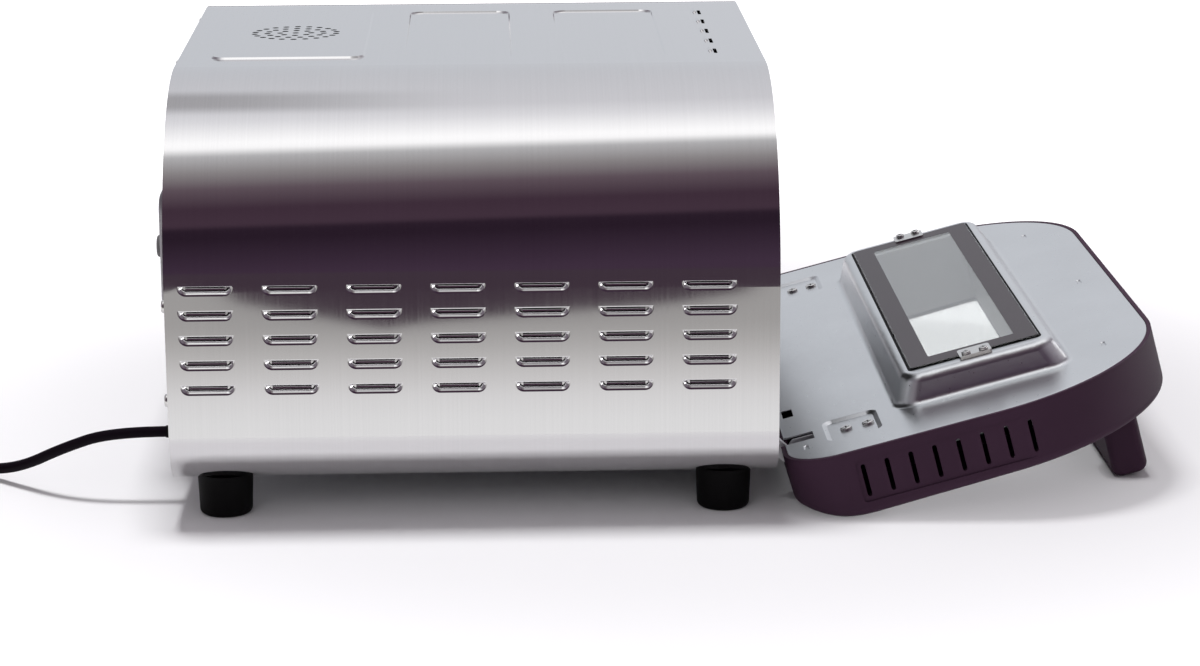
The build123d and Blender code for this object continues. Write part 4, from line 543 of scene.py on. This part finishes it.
def pressedSteel(name, colour, roughness):
    material, tree, shader, place = startMaterial(name)
    grain = addNode(tree, "ShaderNodeTexNoise", {"Vector": place, "Scale": 1000 / sheetSet["grainSize"],
                                                 "Detail": sheetSet["grainDetail"]})
    cloud = addNode(tree, "ShaderNodeTexNoise", {"Vector": place, "Scale": 1000 / sheetSet["cloudSize"],
                                                 "Detail": sheetSet["cloudDetail"]})
    tone = addNode(tree, "ShaderNodeMapRange", {"Value": cloud.outputs[0], "From Min": noiseLow,
                                                "From Max": noiseHigh, "To Min": sheetSet["toneLow"]})
    base = addNode(tree, "ShaderNodeMix", {6: hexColour(colour), 7: tone.outputs[0], 0: 1.0},
                   data_type="RGBA", blend_type="MULTIPLY")
    rough = addNode(tree, "ShaderNodeMapRange", {"Value": grain.outputs[0],
                                                 "To Min": roughness * (1 - sheetSet["roughSpread"]),
                                                 "To Max": roughness * (1 + sheetSet["roughSpread"])})
    fine = addNode(tree, "ShaderNodeBump", {"Height": grain.outputs[0], "Strength": sheetSet["grainBump"],
                                            "Distance": mm(sheetSet["grainDepth"])})
    tree.links.new(base.outputs[2], shader.inputs["Base Color"])
    tree.links.new(rough.outputs[0], shader.inputs["Roughness"])
    tree.links.new(fine.outputs[0], shader.inputs["Normal"])
    shader.inputs["Metallic"].default_value = 1.0
    return material


# ABS, rubber or enamel: dull colour with a spark-eroded grain from the mould
mouldSet = {"grainBump": 0.3, "cloudSize": 45.0, "detail": 2.0, "toneLow": 0.88, "roughSpread": 0.15}


def mouldedPlastic(name, colour, roughness, grainSize, depth, shine=0.5):
    material, tree, shader, place = startMaterial(name)
    grain = addNode(tree, "ShaderNodeTexNoise", {"Vector": place, "Scale": 1000 / grainSize,
                                                 "Detail": mouldSet["detail"]})
    cloud = addNode(tree, "ShaderNodeTexNoise", {"Vector": place, "Scale": 1000 / mouldSet["cloudSize"],
                                                 "Detail": mouldSet["detail"]})
    tone = addNode(tree, "ShaderNodeMapRange", {"Value": cloud.outputs[0], "From Min": noiseLow,
                                                "From Max": noiseHigh, "To Min": mouldSet["toneLow"]})
    base = addNode(tree, "ShaderNodeMix", {6: hexColour(colour), 7: tone.outputs[0], 0: 1.0},
                   data_type="RGBA", blend_type="MULTIPLY")
    rough = addNode(tree, "ShaderNodeMapRange", {"Value": grain.outputs[0],
                                                 "To Min": roughness * (1 - mouldSet["roughSpread"]),
                                                 "To Max": roughness * (1 + mouldSet["roughSpread"])})
    pits = addNode(tree, "ShaderNodeBump", {"Height": grain.outputs[0], "Strength": mouldSet["grainBump"],
                                            "Distance": mm(depth)})
    tree.links.new(base.outputs[2], shader.inputs["Base Color"])
    tree.links.new(rough.outputs[0], shader.inputs["Roughness"])
    tree.links.new(pits.outputs[0], shader.inputs["Normal"])
    shader.inputs["Specular IOR Level"].default_value = shine
    return material


# float glass: clear, with faint smears in its gloss
glassSet = {"smearSize": 40.0, "smearDetail": 3.0, "smearRoughness": 0.03, "bending": 1.45}


def floatGlass(name, tint):
    material, tree, shader, place = startMaterial(name)
    smear = addNode(tree, "ShaderNodeTexNoise", {"Vector": place, "Scale": 1000 / glassSet["smearSize"],
                                                 "Detail": glassSet["smearDetail"]})
    rough = addNode(tree, "ShaderNodeMapRange", {"Value": smear.outputs[0],
                                                 "To Max": glassSet["smearRoughness"]})
    tree.links.new(rough.outputs[0], shader.inputs["Roughness"])
    shader.inputs["Base Color"].default_value = hexColour(tint)
    shader.inputs["Transmission Weight"].default_value = 1.0
    shader.inputs["IOR"].default_value = glassSet["bending"]
    return material


paint(brushedStainless(), "casing_wrap")
# pressed steel sheet: bright with a soft mirror, so that the window's frame shows light and dark faces
paint(pressedSteel("pressedDoorSteel", "#dcdee0", roughness=0.3), "door_inner_panel")
# plated steel: a grey that hardly mirrors
paint(pressedSteel("platedSteel", "#b4b6b8", roughness=0.4), "base_plate", "front_frame", "motor_bracket",
      "transformer", "fan_motor", "drive_motor")
# lining dulled by heat: a darker grey
paint(pressedSteel("ovenSteel", "#a2a3a5", roughness=0.38), "oven_chamber", "fan_guard", "fan_blade",
      "pan_clips", "temperature_probe")
# nickelled steel: small bright pieces that catch the light
paint(pressedSteel("nickelledSteel", "#d8d7d5", roughness=0.24), "casing_screws", "foot_screws",
      "door_screws", "hinge_pins", "glass_clips", "drive_shaft", "pan_shaft", "motor_pulley",
      "pan_handle", "door_magnets")
# zinc plate: pale and matt, so that the hinges stand out in their cut-outs
paint(pressedSteel("zincPlate", "#e4e4e6", roughness=0.55), "hinge_brackets", "hinge_leaves")
# drawn brass: warm yellow glints
paint(pressedSteel("brassPins", "#c9a65a", roughness=0.25), "plug_pins")
# sintered bronze: dull brown
paint(pressedSteel("bronzeBush", "#a5824f", roughness=0.4), "drive_bearing")
# galvanised sheet: grey, with broad soft highlights
paint(pressedSteel("zincSheet", "#a09ea1", roughness=0.45), "rear_panel", "rear_cover")
# moulded rubber: flat, even grey
paint(mouldedPlastic("greyRubber", "#6c6b6c", roughness=0.6, grainSize=0.7, depth=0.03), "rear_bumpers")
# sheath darkened by heat: brown grey without gloss
paint(mouldedPlastic("heaterSheath", "#4a4644", roughness=0.6, grainSize=0.6, depth=0.03), "heater_element")
# fired steatite: chalky and pale
paint(mouldedPlastic("steatite", "#ddd8cc", roughness=0.6, grainSize=0.6, depth=0.03), "heater_bushes")
# baked non-stick coating: dark with a low sheen
paint(mouldedPlastic("nonStickCoating", "#2d2d2f", roughness=0.42, grainSize=0.9, depth=0.03),
      "bread_pan", "kneading_paddle")
# moulded nylon: cream and half matt
paint(mouldedPlastic("nylon", "#d8d5ca", roughness=0.5, grainSize=0.7, depth=0.02), "drive_pulley")
# moulded rubber: near black, with little shine
paint(mouldedPlastic("blackRubber", "#060506", roughness=0.65, grainSize=0.7, depth=0.04, shine=0.12),
      "feet", "glass_seal", "drive_belt", "cord_gland", "plug_body")
# wire dipped in plastic: dark and half matt
paint(mouldedPlastic("tieWire", "#1d1c1e", roughness=0.5, grainSize=0.5, depth=0.02), "cord_tie")
# moulded silicone: matt mid grey
paint(mouldedPlastic("siliconeGasket", "#555456", roughness=0.6, grainSize=0.7, depth=0.03), "door_gasket")
# grained ABS: dark with a purple cast, and so dull that it shows no reflections
paint(mouldedPlastic("darkAbs", "#3f2b3b", roughness=0.55, grainSize=0.7, depth=0.03, shine=0.06),
      "door_shell", "door_handle")
# moulded ABS: half matt, so that light falls off softly along the tunnel
paint(mouldedPlastic("greyAbs", "#a0a2a2", roughness=0.5, grainSize=0.7, depth=0.02), "window_tunnel")
# polished ABS: smooth and dark, so that the buttons and the display stand out
paint(mouldedPlastic("glossAbs", "#1a181b", roughness=0.2, grainSize=0.9, depth=0.005), "control_fascia")
# ABS in silver paint: even and pale, without a mirror
paint(mouldedPlastic("silverAbs", "#a9a9ad", roughness=0.35, grainSize=0.7, depth=0.01), *buttons)
# pressed glass fibre and epoxy: dark green
paint(mouldedPlastic("glassEpoxy", "#1f5a34", roughness=0.4, grainSize=0.8, depth=0.01), "power_board",
      "control_board")
# polished glass over the display: grey green and glossy
paint(mouldedPlastic("displayGlass", "#7c8a7c", roughness=0.15, grainSize=0.9, depth=0.002), "display")
paint(floatGlass("floatGlass", "#f4f6f5"), "inner_glass", "outer_glass")
# daylight passes through the inner pane to the tunnel's walls
nodes["inner_glass"].visible_shadow = False
for pane in ("inner_glass", "outer_glass"):
    nodes[pane].visible_diffuse = False
# drawn PVC sheath: nearly black and without shine
lead.data.materials.append(mouldedPlastic("leadPvc", "#120b13", roughness=0.55, grainSize=0.6, depth=0.02,
                                          shine=0.05))
print("materials painted")


# ceramic prints on the panes: a dark frame round the clear view, and one that hides the tunnel's end
printSet = {"colour": "#2b2027", "lift": 0.04}
innerPrint = {"outer": (299.0, 73.2), "clear": (271.0, 50.0), "corner": 2.0, "clearCorner": 0.8,
              "depth": -17.6}
outerPrint = {"outer": (291.6, 63.8), "clear": (267.0, 62.8), "corner": 5.8, "clearCorner": 4.0,
              "depth": -3.0}


def roundedLoop(size, corner, steps=6):
    loop = []
    for quarter in range(4):
        turn = quarter * math.pi / 2
        signX = 1 if quarter in (0, 3) else -1
        signY = 1 if quarter in (0, 1) else -1
        for step in range(steps + 1):
            angle = turn + step / steps * math.pi / 2
            loop.append((signX * (size[0] / 2 - corner) + corner * math.cos(angle),
                         signY * (size[1] / 2 - corner) + corner * math.sin(angle)))
    return loop


def onInnerPane(x, t):
    return onDoor(x, doorSet["windowS"] + t, innerPrint["depth"] - printSet["lift"])


def onOuterPane(x, t):
    # the outer pane lies in the door's sloping face
    slope = (doorSet["deepDepth"] - doorSet["topDepth"]) / (doorSet["topS"] - doorSet["deepS"])
    size = math.hypot(1, slope)
    inwards = outerPrint["depth"] - printSet["lift"]
    face = doorSet["deepDepth"] - slope * (doorSet["windowS"] - doorSet["deepS"])
    return onDoor(x, doorSet["windowS"] + (t + inwards * slope) / size, face + (inwards - t * slope) / size)


def makePrint(name, sizes, place, enamel):
    form = bmesh.new()
    rings = []
    for edge, rounding in (("outer", "corner"), ("clear", "clearCorner")):
        loop = roundedLoop(sizes[edge], sizes[rounding])
        rings.append([form.verts.new(place(x, t)) for x, t in loop])
    count = len(rings[0])
    for i in range(count):
        j = (i + 1) % count
        form.faces.new((rings[0][i], rings[0][j], rings[1][j], rings[1][i]))
    bmesh.ops.recalc_face_normals(form, faces=form.faces)
    mesh = bpy.data.meshes.new(name)
    form.to_mesh(mesh)
    form.free()
    piece = bpy.data.objects.new(name, mesh)
    scene.collection.objects.link(piece)
    mesh.materials.append(enamel)
    piece.visible_shadow = False
    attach(piece, "door")


# fired enamel: dark, with a dull gloss
glassEnamel = mouldedPlastic("glassEnamel", printSet["colour"], roughness=0.35, grainSize=0.6, depth=0.005,
                             shine=0.3)
makePrint("glassPrint", innerPrint, onInnerPane, glassEnamel)
makePrint("outerGlassPrint", outerPrint, onOuterPane, glassEnamel)
print("panes printed")

bpy.context.view_layer.update()
